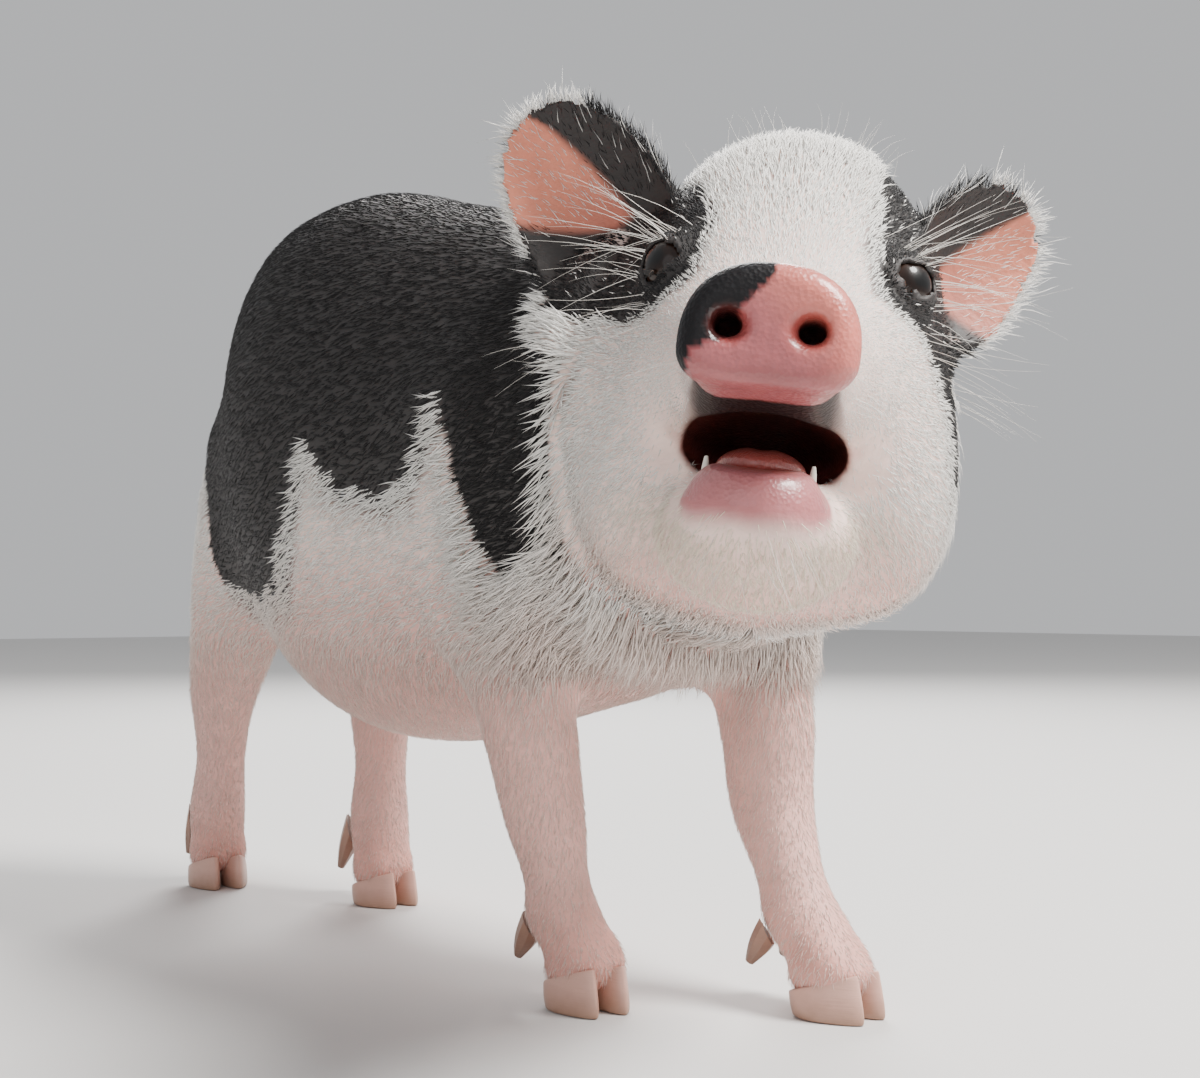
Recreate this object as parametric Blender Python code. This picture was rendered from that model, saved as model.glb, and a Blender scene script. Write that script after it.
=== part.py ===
"""A miniature pig piglet, standing in mid step, its head turned to its right and its mouth open.

Metres. The pig faces -Y and its left side is +X. The body is one smooth form of lofts, ellipsoids and
tapered limbs that are blended. It is wrapped with a mesh, region by region, and parted by thin cuts into
its nodes. The surface is where the tips of the short coat lie.
"""

import math

import bmesh
import bpy
import numpy as np
import openvdb
from mathutils import Matrix, Vector
from mathutils.bvhtree import BVHTree

GAP = 0.0003  # between pieces that touch

# Trunk sections: place along Y, centre height, half height, half width
TRUNK = [
    (-0.100, 0.140, 0.051, 0.045),
    (-0.075, 0.138, 0.061, 0.054),
    (-0.040, 0.1395, 0.0715, 0.060),
    (0.000, 0.141, 0.081, 0.0625),
    (0.035, 0.1465, 0.085, 0.0605),
    (0.060, 0.151, 0.0815, 0.054),
    (0.080, 0.157, 0.0745, 0.0445),
    (0.097, 0.163, 0.0625, 0.0350),
    (0.110, 0.165, 0.0480, 0.0250),
    (0.119, 0.165, 0.0300, 0.0145),
]
TRUNK_ENDS = 0.005  # how far the rounded ends go beyond the last sections

# The joints of each leg, from the trunk down: place, half width across, half depth fore and aft
LEGS = {
    "foreleg_right": [
        ((-0.034, -0.070, 0.150), 0.024, 0.036),
        ((-0.036, -0.064, 0.105), 0.019, 0.026),
        ((-0.029, -0.068, 0.070), 0.0125, 0.0142),
        ((-0.0245, -0.069, 0.046), 0.0108, 0.0114),
        ((-0.0215, -0.070, 0.031), 0.0090, 0.0096),
        ((-0.0190, -0.0705, 0.021), 0.0105, 0.0106),
        ((-0.0170, -0.0755, 0.012), 0.0100, 0.0095),
    ],
    "foreleg_left": [
        ((0.031, -0.078, 0.145), 0.023, 0.034),
        ((0.032, -0.080, 0.105), 0.018, 0.025),
        ((0.0285, -0.094, 0.070), 0.0122, 0.0140),
        ((0.0270, -0.0985, 0.046), 0.0106, 0.0112),
        ((0.0258, -0.106, 0.031), 0.0088, 0.0094),
        ((0.0258, -0.1115, 0.021), 0.0104, 0.0104),
        ((0.0260, -0.119, 0.012), 0.0100, 0.0095),
    ],
    "hindleg_right": [
        ((-0.022, 0.078, 0.150), 0.022, 0.038),
        ((-0.027, 0.083, 0.118), 0.019, 0.033),
        ((-0.024, 0.107, 0.089), 0.0135, 0.0195),
        ((-0.0165, 0.131, 0.068), 0.0105, 0.0132),
        ((-0.0130, 0.140, 0.046), 0.0088, 0.0100),
        ((-0.0110, 0.1465, 0.027), 0.0102, 0.0108),
        ((-0.0100, 0.148, 0.013), 0.0098, 0.0096),
    ],
    "hindleg_left": [
        ((0.022, 0.068, 0.150), 0.022, 0.038),
        ((0.028, 0.062, 0.118), 0.020, 0.032),
        ((0.026, 0.078, 0.089), 0.0140, 0.0195),
        ((0.023, 0.089, 0.068), 0.0108, 0.0145),
        ((0.0205, 0.0865, 0.046), 0.0090, 0.0103),
        ((0.0190, 0.0845, 0.027), 0.0103, 0.0110),
        ((0.0180, 0.0805, 0.013), 0.0098, 0.0096),
    ],
}

# The head hangs on its snout's tip. Its own frame: side is to the pig's left, back is away from the
# snout, up. Angles in degrees: to the pig's right, snout down, left side down
SNOUT_TIP = (-0.068, -0.195, 0.150)
HEAD_YAW = 45.0
HEAD_PITCH = 3.0
HEAD_ROLL = 6.5

# Head sections: distance behind the snout's tip, centre, up, down, half width
SKULL = [
    (0.008, 0.000, 0.0130, 0.0130, 0.0155),
    (0.025, 0.000, 0.0165, 0.0165, 0.0195),
    (0.045, 0.001, 0.0230, 0.0210, 0.0265),
    (0.062, 0.004, 0.0415, 0.0280, 0.0325),
    (0.080, 0.008, 0.0550, 0.0360, 0.0380),
    (0.100, 0.010, 0.0590, 0.0410, 0.0400),
    (0.118, 0.010, 0.0505, 0.0400, 0.0370),
]
EYE_PLACE = (0.0235, 0.0640, 0.0250)
EYE_RADIUS = 0.0080
EYE_AXIS = (0.66, -0.72, 0.20)
LID_OPEN = (0.0059, 0.0036)  # half width and half height of the opening
LID_THICK = 0.0021
DISC_HALF_WIDTH = 0.0170
DISC_WIDEST = -0.0028  # height of its widest part
DISC_ABOVE = 0.0168
DISC_BELOW = 0.0090
NOSTRIL_PLACE = (0.0073, 0.0, 0.0008)
MOUTH_CORNER = (0.043, -0.0170)  # back, up
TONGUE_RADII = (0.0078, 0.0135, 0.0030)
TOOTH = (0.0105, 0.0285, -0.0183)  # across, back and up from the snout tip
MOUTH_UPPER = -0.185  # how the upper lip's edge falls with the distance to the corner
MOUTH_LOWER = 0.020


DISC_CUT = 0.0088
MUZZLE_CUT = 0.0415
HEAD_CUT = ((0.012, -0.116, 0.150), (0.50, 0.82, -0.34))
NECK_CUT = ((0.000, -0.088, 0.150), (0.22, 0.90, -0.38))
CHEST_CUT = ((0, -0.022, 0.150), (0, 1, 0))
LOIN_CUT = ((0, 0.046, 0.150), (0, 1, 0))
LEG_CUTS = {
    "foreleg_right": ((-0.0295, -0.0680, 0.0715), (-0.08, 0.42, 1)),
    "foreleg_left": ((0.0290, -0.0930, 0.0735), (0.08, 0.42, 1)),
    "hindleg_right": ((-0.0225, 0.1110, 0.0845), (0, -0.60, 1)),
    "hindleg_left": ((0.0258, 0.0790, 0.0840), (0, -0.35, 1)),
}
LEG_BLOCK = (0.038, 0.050, 0.060)
LEG_MARGIN = 0.0040  # round a leg's own form, what its piece may hold
HEADINGS = {"foreleg_right": -8, "foreleg_left": 6, "hindleg_right": -10, "hindleg_left": 4}
TOE_APART = 0.0050
LEG_END = 0.0090  # how far the rounded lower end goes on
CLAW_WIDTH = 0.0104
CLAW_APART = 0.0108
CLAW_AHEAD = 0.0015
CLAW_TOE = 0.0120
CLAW_HEEL = 0.0082
CLAW_POINTS = 12
CORONET_HEIGHT = 0.0085
CORONET_SLOPE = 0.32
DEWCLAW_TIP = 0.0105

EAR_SHAPES = {
    "ear_left": ((0.0335, 0.082, 0.0295), (0.0525, 0.099, 0.0545), (0.80, -1, -0.1), 0.0085, 0.86),
    "ear_right": ((0.0365, 0.085, 0.0325), (0.0675, 0.096, 0.0660), (0.25, -1, -0.1), 0.0085, 1.00),
}
EAR_OUTLINE = [
    (-0.60, 0.014, 0.015),
    (0.0, 0.0150, 0.0180),
    (0.25, 0.0178, 0.0207),
    (0.50, 0.0180, 0.0190),
    (0.75, 0.0150, 0.0150),
    (0.92, 0.0098, 0.0098),
    (1.0, 0.0040, 0.0040),
]
EAR_SUNK = -0.60  # where the leaf starts inside the head
EAR_ROWS = 9
EAR_COLUMNS = 8
EAR_THICK = 0.0026

# Locks: part of the length, width and thickness there as parts of their largest
LOCK_FORM = ((0.0, 0.75, 1.0), (0.30, 1.0, 1.0), (0.68, 0.62, 0.7))
LOCK_THICK = 0.0022
LOCK_SINK = 0.0035
LOCK_SWAY = 0.0035
LOCK_DROOP = 0.35
LOCK_CLEAR = 0.003
RUFF_START = (0.000, -0.100, 0.148)  # on the axis that the rows go round
RUFF_AXIS = (0.30, 0.90, -0.30)
RUFF_ARC = (-62, 78)  # from the side: down and up, in degrees
RUFF_REACH = 0.12
RUFF_WIDTH = 0.0135
RUFF_LIFT = 0.0016
# Rows: side, place along the axis, number of locks, their length
NECK_ROWS = ((1, -0.012, 10, 0.021), (1, 0.003, 10, 0.022), (-1, 0.0035, 10, 0.021))
HEAD_ROWS = ((1, -0.030, 8, 0.019), (-1, -0.018, 10, 0.021), (-1, -0.0085, 11, 0.021))
TASSEL = 6
# Length, width, lift, sway, thickness, sink
TASSEL_LOCK = (0.018, 0.0042, 0.0010, 0.002, 0.0014, 0.0012)

# Colour and roughness of the pieces whose names hold these words; the last one takes the rest
LOOKS = {
    "dewclaw": ((0.22, 0.15, 0.11), 0.45),
    "claw": ((0.55, 0.40, 0.33), 0.45),
    "eye": ((0.02, 0.015, 0.012), 0.12),
    "nose": ((0.62, 0.36, 0.35), 0.35),
    "tongue": ((0.60, 0.25, 0.24), 0.35),
    "tooth": ((0.85, 0.82, 0.74), 0.30),
    "ear": ((0.45, 0.33, 0.30), 0.60),
    "abdomen": ((0.30, 0.28, 0.28), 0.75),
    "": ((0.80, 0.70, 0.66), 0.75),
}

# The tail: part of its length, place, half thickness
TAIL = [
    (0.00, 0.000, 0.108, 0.180, 0.0050),
    (0.22, 0.001, 0.129, 0.179, 0.0043),
    (0.45, 0.005, 0.138, 0.163, 0.0037),
    (0.72, 0.003, 0.137, 0.143, 0.0031),
    (1.00, -0.002, 0.141, 0.124, 0.0020),
]


def head_frame():
    """From the head's own frame to the pig's."""
    turn = (
        Matrix.Rotation(math.radians(-HEAD_YAW), 4, "Z")
        @ Matrix.Rotation(math.radians(-HEAD_PITCH), 4, "X")
        @ Matrix.Rotation(math.radians(HEAD_ROLL), 4, "Y")
    )
    return Matrix.Translation(SNOUT_TIP) @ turn


HEAD = head_frame()
HEAD_AXES = np.array(HEAD.to_3x3(), np.float32)


def to_head(points):
    return (points - np.array(SNOUT_TIP, np.float32)) @ HEAD_AXES


def from_head(points):
    return points @ HEAD_AXES.T + np.array(SNOUT_TIP, np.float32)


def curve(places, table):
    """Smooth values between the rows of a table, one column for each value."""
    rows = np.array(table, np.float32)
    knots, values = rows[:, 0], rows[:, 1:]
    slopes = np.gradient(values, knots, axis=0)
    at = np.clip(places, knots[0], knots[-1])
    i = np.clip(np.searchsorted(knots, at, side="right") - 1, 0, len(knots) - 2)
    step = knots[i + 1] - knots[i]
    t = ((at - knots[i]) / step)[:, None]
    step = step[:, None]
    a = (2 * t**3 - 3 * t**2 + 1) * values[i] + (t**3 - 2 * t**2 + t) * step * slopes[i]
    b = (3 * t**2 - 2 * t**3) * values[i + 1] + (t**3 - t**2) * step * slopes[i + 1]
    return (a + b).T


def rounded(across, high, along, ratio):
    """Distance from an oval, given the offsets from its centre and the same as parts of its half sizes."""
    far = np.sqrt(across**2 + high**2 + along**2)
    return np.where(ratio > 1e-3, far * (1 - 1 / np.maximum(ratio, 1e-3)), -0.01)


def loft(side, along, up, table, ends, power=2.0):
    """Distance from a body with oval sections, with a round front and back end. The table's columns:
    place, centre, half heights up and down, half width."""
    centre, above, below, width = curve(along, table)
    z = up - centre
    height = np.where(z > 0, above, below)
    over = along - np.clip(along, table[0][0], table[-1][0])
    end = np.where(over < 0, ends[0], ends[1])
    powers = np.abs(side / width) ** power + np.abs(z / height) ** power + np.abs(over / end) ** power
    return rounded(side, z, over, powers ** (1 / power))


def ellipsoid(points, centre, radii, turn=None):
    """Distance from an ellipsoid, below zero inside. The columns of turn are its axes."""
    q = points - np.asarray(centre, np.float32)
    if turn is not None:
        q = q @ np.asarray(turn, np.float32)
    r = np.asarray(radii, np.float32)
    near = np.linalg.norm(q / r, axis=1)
    steep = np.linalg.norm(q / (r * r), axis=1)
    return near * (near - 1) / np.maximum(steep, 1e-6)


def segment(points, a, b, across, deep, side):
    """Distance from a tapered limb between two joints. across and deep are its half widths at both ends."""
    a, b = np.asarray(a, np.float32), np.asarray(b, np.float32)
    line = b - a
    length = np.linalg.norm(line)
    along = line / length
    front = np.cross(along, side)
    front /= np.linalg.norm(front)
    out = np.cross(front, along)
    q = points - a
    t = np.clip(q @ along / length, 0, 1)
    q = q - t[:, None] * line
    w = across[0] + (across[1] - across[0]) * t
    d = deep[0] + (deep[1] - deep[0]) * t
    x, y, z = q @ out, q @ front, q @ along
    ratio = np.sqrt((x / w) ** 2 + (y / d) ** 2 + (z / np.minimum(w, d)) ** 2)
    return rounded(x, y, z, ratio)


def limb(points, joints, side=(1, 0, 0), blend=0.006):
    found = None
    for (a, wa, da), (b, wb, db) in zip(joints, joints[1:]):
        piece = segment(points, a, b, (wa, wb), (da, db), np.asarray(side, np.float32))
        found = piece if found is None else union(found, piece, blend)
    return found


def union(a, b, blend):
    h = np.clip(0.5 + 0.5 * (b - a) / blend, 0, 1)
    return b + (a - b) * h - blend * h * (1 - h)


def cut(a, b, blend):
    """What is left of a without b."""
    return -union(-a, b, blend)


def trunk(p):
    table = [(y, z, high, high, wide) for y, z, high, wide in TRUNK]
    return loft(p[:, 0], p[:, 1], p[:, 2], table, (TRUNK_ENDS, TRUNK_ENDS))


def toes(p, leg):
    """The two toes above the claws."""
    heading = math.radians(HEADINGS[leg])
    left = np.array((math.cos(heading), math.sin(heading), 0))
    fore = np.array((math.sin(heading), -math.cos(heading), 0))
    foot = np.array(LEGS[leg][-1][0])
    found = None
    for side in (1, -1):
        centre = foot + left * side * TOE_APART + np.array((0, 0, -0.001))
        piece = ellipsoid(p, centre, (0.0050, 0.0084, 0.0082), np.array((left, fore, (0, 0, 1))).T)
        found = piece if found is None else np.minimum(found, piece)
    return found


def post(p, joints):
    """Distance from a leg: oval sections across its joints, with smooth values between them."""
    rows = sorted((place[2], place[0], place[1], wide, deep) for place, wide, deep in joints)
    x, y, wide, deep = curve(p[:, 2], rows)
    lean = np.gradient([row[2] for row in rows], [row[0] for row in rows])
    lean = np.interp(p[:, 2], [row[0] for row in rows], lean)
    stretch = np.sqrt(1 + lean**2)
    over = p[:, 2] - np.clip(p[:, 2], rows[0][0], rows[-1][0])
    side, back = p[:, 0] - x, (p[:, 1] - y) / stretch
    end = np.where(over < 0, LEG_END, 0.02)
    ratio = np.sqrt((side / wide) ** 2 + (back / deep) ** 2 + (over / end) ** 2)
    return rounded(side, back, over, ratio).astype(np.float32)


def legs(p):
    found = None
    for leg, joints in LEGS.items():
        piece = union(post(p, joints), toes(p, leg), 0.003)
        found = piece if found is None else np.minimum(found, piece)
    return found


def neck(p):
    back = from_head(np.array((0, 0.095, -0.006), np.float32))
    joints = [((0, -0.078, 0.142), 0.046, 0.055), ((0.001, -0.102, 0.146), 0.041, 0.051)]
    joints.append((tuple(back), 0.038, 0.045))
    return limb(p, joints, blend=0.02)


def lids(m):
    """A thick lid over the eyeball, with an almond left open."""
    axis = np.array(EYE_AXIS, np.float32)
    axis /= np.linalg.norm(axis)
    wide = np.cross(axis, np.array((0, 0, 1), np.float32))
    wide /= np.linalg.norm(wide)
    high = np.cross(wide, axis)
    q = m - np.array(EYE_PLACE, np.float32)
    u, v, w = q @ wide, q @ high, q @ axis
    open_height = LID_OPEN[1] * (1 - np.clip(np.abs(u) / LID_OPEN[0], 0, 1) ** 2)
    almond = np.where(w > 0, np.maximum(np.abs(v) - open_height, np.abs(u) - LID_OPEN[0]), 0.01)
    ball = np.linalg.norm(q, axis=1)
    return np.maximum(ball - EYE_RADIUS - LID_THICK, -almond), ball


def disc(m):
    """The flat nose, with its rim and two nostrils."""
    q = m.copy()
    q[:, 1] -= 0.0045
    q[:, 2] -= DISC_WIDEST
    height = np.where(q[:, 2] > 0, DISC_ABOVE, DISC_BELOW)
    ratio = np.abs(q[:, 0] / DISC_HALF_WIDTH) ** 2.4 + np.abs(q[:, 2] / height) ** 2.4
    ratio = ratio ** (1 / 2.4)
    edge = rounded(q[:, 0], q[:, 2], 0, ratio)
    plate = np.maximum(edge, np.abs(q[:, 1]) - 0.0042)
    plate = -union(-edge, 0.0042 - np.abs(q[:, 1]), 0.0035)
    return plate


def jaw(m):
    joints = [((0, 0.0265, -0.0305), 0.0148, 0.0130), ((0, 0.048, -0.0328), 0.0195, 0.0145)]
    joints.append(((0, 0.085, -0.0320), 0.0290, 0.0180))
    return limb(m, joints)


def head_form(q):
    """The head without its ears, in its own frame."""
    m = q.copy()
    m[:, 0] = np.abs(m[:, 0])
    found = loft(m[:, 0], m[:, 1], m[:, 2], SKULL, (0.003, 0.018), 2.15)
    found = union(found, ellipsoid(m, (0.0215, 0.086, -0.018), (0.0225, 0.034, 0.029)), 0.014)
    found = union(found, jaw(m), 0.007)
    found = union(found, disc(m), 0.0025)
    return found


def carve_face(found, q):
    """The mouth, the nostrils and the eyes."""
    m = q.copy()
    m[:, 0] = np.abs(m[:, 0])
    before = MOUTH_CORNER[0] - m[:, 1]
    above = m[:, 2] - (MOUTH_CORNER[1] - MOUTH_UPPER * before)
    below = (MOUTH_CORNER[1] - MOUTH_LOWER * before) - m[:, 2]
    gape = np.maximum(above, below)
    found = cut(found, gape, 0.0015)
    found = cut(found, ellipsoid(m, (0, 0.030, -0.0155), (0.0150, 0.031, 0.0066)), 0.0020)
    found = cut(found, ellipsoid(m, NOSTRIL_PLACE, (0.0026, 0.0080, 0.0031)), 0.0012)
    lid, ball = lids(m)
    found = union(found, lid, 0.0025)
    return np.maximum(found, EYE_RADIUS + GAP - ball)


def body(p):
    q = to_head(p)
    found = union(trunk(p), legs(p), 0.012)
    found = union(found, neck(p), 0.022)
    found = union(found, head_form(q), 0.010)
    return carve_face(found, q)


def wrapped(name, low, high, step, frame=None, only=None):
    """A closed mesh round the body in a box, in the head's frame if that is given, and inside a form
    if only is given."""
    low, high = np.asarray(low), np.asarray(high)
    counts = np.ceil((high - low) / step).astype(int) + 1
    axes = [low[i] + step * np.arange(counts[i]) for i in range(3)]
    points = np.stack(np.meshgrid(*axes, indexing="ij"), axis=-1).reshape(-1, 3).astype(np.float32)
    if frame is not None:
        points = from_head(points)
    field = body(points)
    if only:
        field = np.maximum(field, only(points))
    grid = openvdb.FloatGrid(1.0)
    grid.copyFromArray(field.reshape(counts).astype(np.float32))
    places, quads = grid.convertToQuads(0.0)
    places = places * step + low
    if frame is not None:
        places = from_head(places)
    mesh = bpy.data.meshes.new(name)
    mesh.from_pydata(places.tolist(), [], quads[:, ::-1].tolist())
    obj = bpy.data.objects.new(name, mesh)
    bpy.context.scene.collection.objects.link(obj)
    return obj


def numbers(mesh):
    places = np.empty(len(mesh.vertices) * 3, np.float32)
    mesh.vertices.foreach_get("co", places)
    return places.reshape(-1, 3)


def lumps(bm):
    """The faces of each connected lump."""
    seen = set()
    found = []
    for face in bm.faces:
        if face in seen:
            continue
        lump = [face]
        seen.add(face)
        for one in lump:
            for edge in one.edges:
                for other in edge.link_faces:
                    if other not in seen:
                        seen.add(other)
                        lump.append(other)
        found.append(lump)
    return sorted(found, key=len, reverse=True)


def keep_lump(obj, chosen=0):
    bm = bmesh.new()
    bm.from_mesh(obj.data)
    for i, lump in enumerate(lumps(bm)):
        if i != chosen:
            bmesh.ops.delete(bm, geom=lump, context="FACES")
    bm.to_mesh(obj.data)
    bm.free()


def copied(obj, name):
    twin = bpy.data.objects.new(name, obj.data.copy())
    bpy.context.scene.collection.objects.link(twin)
    return twin


def modified(obj, modifier):
    """Apply the one modifier that was set."""
    view = bpy.context.evaluated_depsgraph_get()
    view.update()
    mesh = bpy.data.meshes.new_from_object(obj.evaluated_get(view))
    obj.modifiers.remove(modifier)
    obj.data = mesh
    return obj


def thinned(obj, triangles):
    """Fewer triangles, with most of them where the form bends."""
    obj.data.validate()
    now = sum(len(face.vertices) - 2 for face in obj.data.polygons)
    change = obj.modifiers.new("thin", "DECIMATE")
    change.ratio = min(1.0, triangles / now)
    change.use_collapse_triangulate = True
    return modified(obj, change)


def boolean(obj, other, operation="DIFFERENCE"):
    change = obj.modifiers.new("boolean", "BOOLEAN")
    change.operation = operation
    change.solver = "EXACT"
    change.object = other
    modified(obj, change)
    bpy.data.objects.remove(other)
    return obj


def sliced(obj, point, normal):
    """Keep what lies behind a plane, half a gap short of it, and close the cut."""
    normal = Vector(normal).normalized()
    bm = bmesh.new()
    bm.from_mesh(obj.data)
    bmesh.ops.triangulate(bm, faces=bm.faces)
    geometry = list(bm.verts) + list(bm.edges) + list(bm.faces)
    at = Vector(point) - normal * GAP / 2
    plane = {"plane_co": at, "plane_no": normal, "clear_outer": True}
    made = bmesh.ops.bisect_plane(bm, geom=geometry, dist=1e-7, **plane)
    rim = [item for item in made["geom_cut"] if isinstance(item, bmesh.types.BMEdge)]
    bmesh.ops.triangle_fill(bm, edges=rim, use_beauty=True, normal=normal)
    bmesh.ops.recalc_face_normals(bm, faces=bm.faces)
    bm.to_mesh(obj.data)
    bm.free()
    return obj


def block(place, turn, size):
    """A box. place is the middle of its top face."""
    bm = bmesh.new()
    bmesh.ops.create_cube(bm, size=1.0)
    bmesh.ops.translate(bm, verts=bm.verts, vec=(0, 0, -0.5))
    bmesh.ops.scale(bm, verts=bm.verts, vec=size)
    bmesh.ops.transform(bm, verts=bm.verts, matrix=Matrix.Translation(place) @ turn.to_4x4())
    mesh = bpy.data.meshes.new("block")
    bm.to_mesh(mesh)
    bm.free()
    obj = bpy.data.objects.new("block", mesh)
    bpy.context.scene.collection.objects.link(obj)
    return obj


def hull(name, points):
    """The convex form round some points."""
    bm = bmesh.new()
    for point in points:
        bm.verts.new(point)
    made = bmesh.ops.convex_hull(bm, input=bm.verts)
    bmesh.ops.delete(bm, geom=made["geom_interior"] + made["geom_unused"], context="VERTS")
    bmesh.ops.recalc_face_normals(bm, faces=bm.faces)
    mesh = bpy.data.meshes.new(name)
    bm.to_mesh(mesh)
    bm.free()
    obj = bpy.data.objects.new(name, mesh)
    bpy.context.scene.collection.objects.link(obj)
    return obj


def pushed(obj, far):
    """A copy with its surface moved outwards, to cut what is sunk into the original."""
    twin = copied(obj, "pushed")
    bm = bmesh.new()
    bm.from_mesh(twin.data)
    bm.normal_update()
    moves = [vert.normal * far * min(vert.calc_shell_factor(), 1.6) for vert in bm.verts]
    for vert, move in zip(bm.verts, moves):
        vert.co += move
    bm.to_mesh(twin.data)
    bm.free()
    return twin


def fitted(obj, base):
    """Take a base and a gap off a piece that is sunk into it."""
    boolean(obj, pushed(base, GAP * 1.3))
    keep_lump(obj)
    return obj


def grid_solid(name, front, back):
    """A closed sheet between two grids of points."""
    rows, columns = len(front), len(front[0])
    points = [p for row in front for p in row] + [p for row in back for p in row]
    at = lambda side, i, j: side * rows * columns + i * columns + j
    faces = []
    for i in range(rows - 1):
        for j in range(columns - 1):
            faces.append((at(0, i, j), at(0, i, j + 1), at(0, i + 1, j + 1), at(0, i + 1, j)))
            faces.append((at(1, i, j), at(1, i + 1, j), at(1, i + 1, j + 1), at(1, i, j + 1)))
    ring = [(0, j) for j in range(columns - 1)] + [(i, columns - 1) for i in range(rows - 1)]
    ring += [(rows - 1, j) for j in range(columns - 1, 0, -1)] + [(i, 0) for i in range(rows - 1, 0, -1)]
    for (a, b), (c, d) in zip(ring, ring[1:] + ring[:1]):
        faces.append((at(0, a, b), at(1, a, b), at(1, c, d), at(0, c, d)))
    mesh = bpy.data.meshes.new(name)
    mesh.from_pydata([tuple(p) for p in points], [], faces)
    obj = bpy.data.objects.new(name, mesh)
    bpy.context.scene.collection.objects.link(obj)
    bm = bmesh.new()
    bm.from_mesh(mesh)
    bmesh.ops.triangulate(bm, faces=bm.faces)
    bmesh.ops.recalc_face_normals(bm, faces=bm.faces)
    bm.to_mesh(mesh)
    bm.free()
    return obj


def ear_place(name, sign, t, v):
    """A point on the front of the ear and the way it faces. t runs from the root to the tip, v from the
    lower to the upper edge."""
    root, tip, forward, cup, spread = EAR_SHAPES[name]
    root, tip = Vector(root), Vector(tip)
    along, long = (tip - root).normalized(), (tip - root).length
    wide = -along.cross(Vector(forward)).normalized()
    facing = wide.cross(along).normalized()
    facing *= 1 if facing.dot(Vector(forward)) > 0 else -1
    half = curve(np.array([t]), EAR_OUTLINE)[0 if v > 0 else 1, 0] * spread
    rise = max(t, 0)
    bend = cup * (1 - 0.3 * rise) * (1 - rise**4) * (1 - v * v)
    place = root + along * long * t + wide * half * v - facing * (bend - 0.10 * long * rise**2)
    turn = HEAD.to_3x3() @ Matrix.Diagonal((sign, 1, 1))
    return HEAD @ Vector((place.x * sign, place.y, place.z)), turn @ facing


def ear(name, sign, base):
    """A cupped leaf that opens to the front. sign is +1 for the pig's left."""
    front, back = [], []
    for i in range(EAR_ROWS + 1):
        t = EAR_SUNK + (1 - EAR_SUNK) * (i / EAR_ROWS) ** 0.85
        inner, outer = [], []
        for j in range(EAR_COLUMNS + 1):
            v = -1 + 2 * j / EAR_COLUMNS
            place, facing = ear_place(name, sign, t, v)
            thick = EAR_THICK * (0.50 + 0.50 * (1 - v * v)) * (1.15 - 0.45 * max(t, 0))
            inner.append(place)
            outer.append(place - facing * thick)
        front.append(inner)
        back.append(outer)
    return fitted(grid_solid(name, front, back), base)


def sole(centre, heading, side):
    """The outline of a claw on the floor: a blunt heel and a pointed toe, straight on its inner side."""
    fore = Vector((math.sin(heading), -math.cos(heading), 0))
    left = Vector((math.cos(heading), math.sin(heading), 0))
    points = []
    for i in range(CLAW_POINTS):
        a = 2 * math.pi * i / CLAW_POINTS
        x = CLAW_WIDTH / 2 * math.sin(a)
        y = math.cos(a)
        y = y * CLAW_TOE if y > 0 else y * CLAW_HEEL
        x *= 1 - 0.35 * max(y / CLAW_TOE, 0)
        x += -side * 0.0012 * max(y / CLAW_TOE, 0)
        points.append(centre + left * (x + side * CLAW_APART / 2) + fore * y)
    return points, fore, left


def coronet(point, foot, heading):
    """Height of the plane between a foot and its claws."""
    fore = Vector((math.sin(heading), -math.cos(heading), 0))
    return CORONET_HEIGHT + CORONET_SLOPE * (point - foot).dot(fore)


def claw(name, leg, side):
    heading = math.radians(HEADINGS[leg])
    foot = Vector(LEGS[leg][-1][0])
    foot.z = 0
    ahead = Vector((math.sin(heading), -math.cos(heading), 0))
    ground, fore, left = sole(foot + ahead * CLAW_AHEAD, heading, side)
    middle = sum(ground, Vector()) / len(ground)
    points = list(ground)
    for point in ground:
        wall = middle + (point - middle) * 1.05 - fore * 0.0004
        wall.z = 0.0028
        points.append(wall)
        high = middle + (point - middle) * 0.98 - fore * 0.0016
        high.z = coronet(high, foot, heading) - GAP / 2
        points.append(high)
    return hull(name, points)


def dewclaw(name, leg, side, base):
    """A small blunt horn behind the fetlock."""
    heading = math.radians(HEADINGS[leg])
    fore = Vector((math.sin(heading), -math.cos(heading), 0))
    left = Vector((math.cos(heading), math.sin(heading), 0))
    fetlock = Vector(LEGS[leg][-2][0])
    start = fetlock - fore * 0.0065 + left * side * 0.0052 + Vector((0, 0, 0.001))
    end = fetlock - fore * 0.0135 + left * side * 0.0066
    end.z = DEWCLAW_TIP
    points = []
    axis = (end - start).normalized()
    a = axis.orthogonal().normalized()
    b = axis.cross(a)
    for t, radius in ((0.0, 0.0034), (0.6, 0.0032), (1.0, 0.0012)):
        for i in range(8):
            turn = 2 * math.pi * i / 8
            points.append(start.lerp(end, t) + (a * math.cos(turn) + b * math.sin(turn)) * radius)
    return fitted(hull(name, points), base)


def ball(name, place, radius, scale=(1, 1, 1), parts=(14, 9), turn=Matrix.Identity(4)):
    bm = bmesh.new()
    bmesh.ops.create_uvsphere(bm, u_segments=parts[0], v_segments=parts[1], radius=radius)
    bmesh.ops.scale(bm, verts=bm.verts, vec=scale)
    bmesh.ops.transform(bm, verts=bm.verts, matrix=Matrix.Translation(place) @ turn)
    bmesh.ops.triangulate(bm, faces=bm.faces)
    mesh = bpy.data.meshes.new(name)
    bm.to_mesh(mesh)
    bm.free()
    obj = bpy.data.objects.new(name, mesh)
    bpy.context.scene.collection.objects.link(obj)
    return obj


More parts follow.
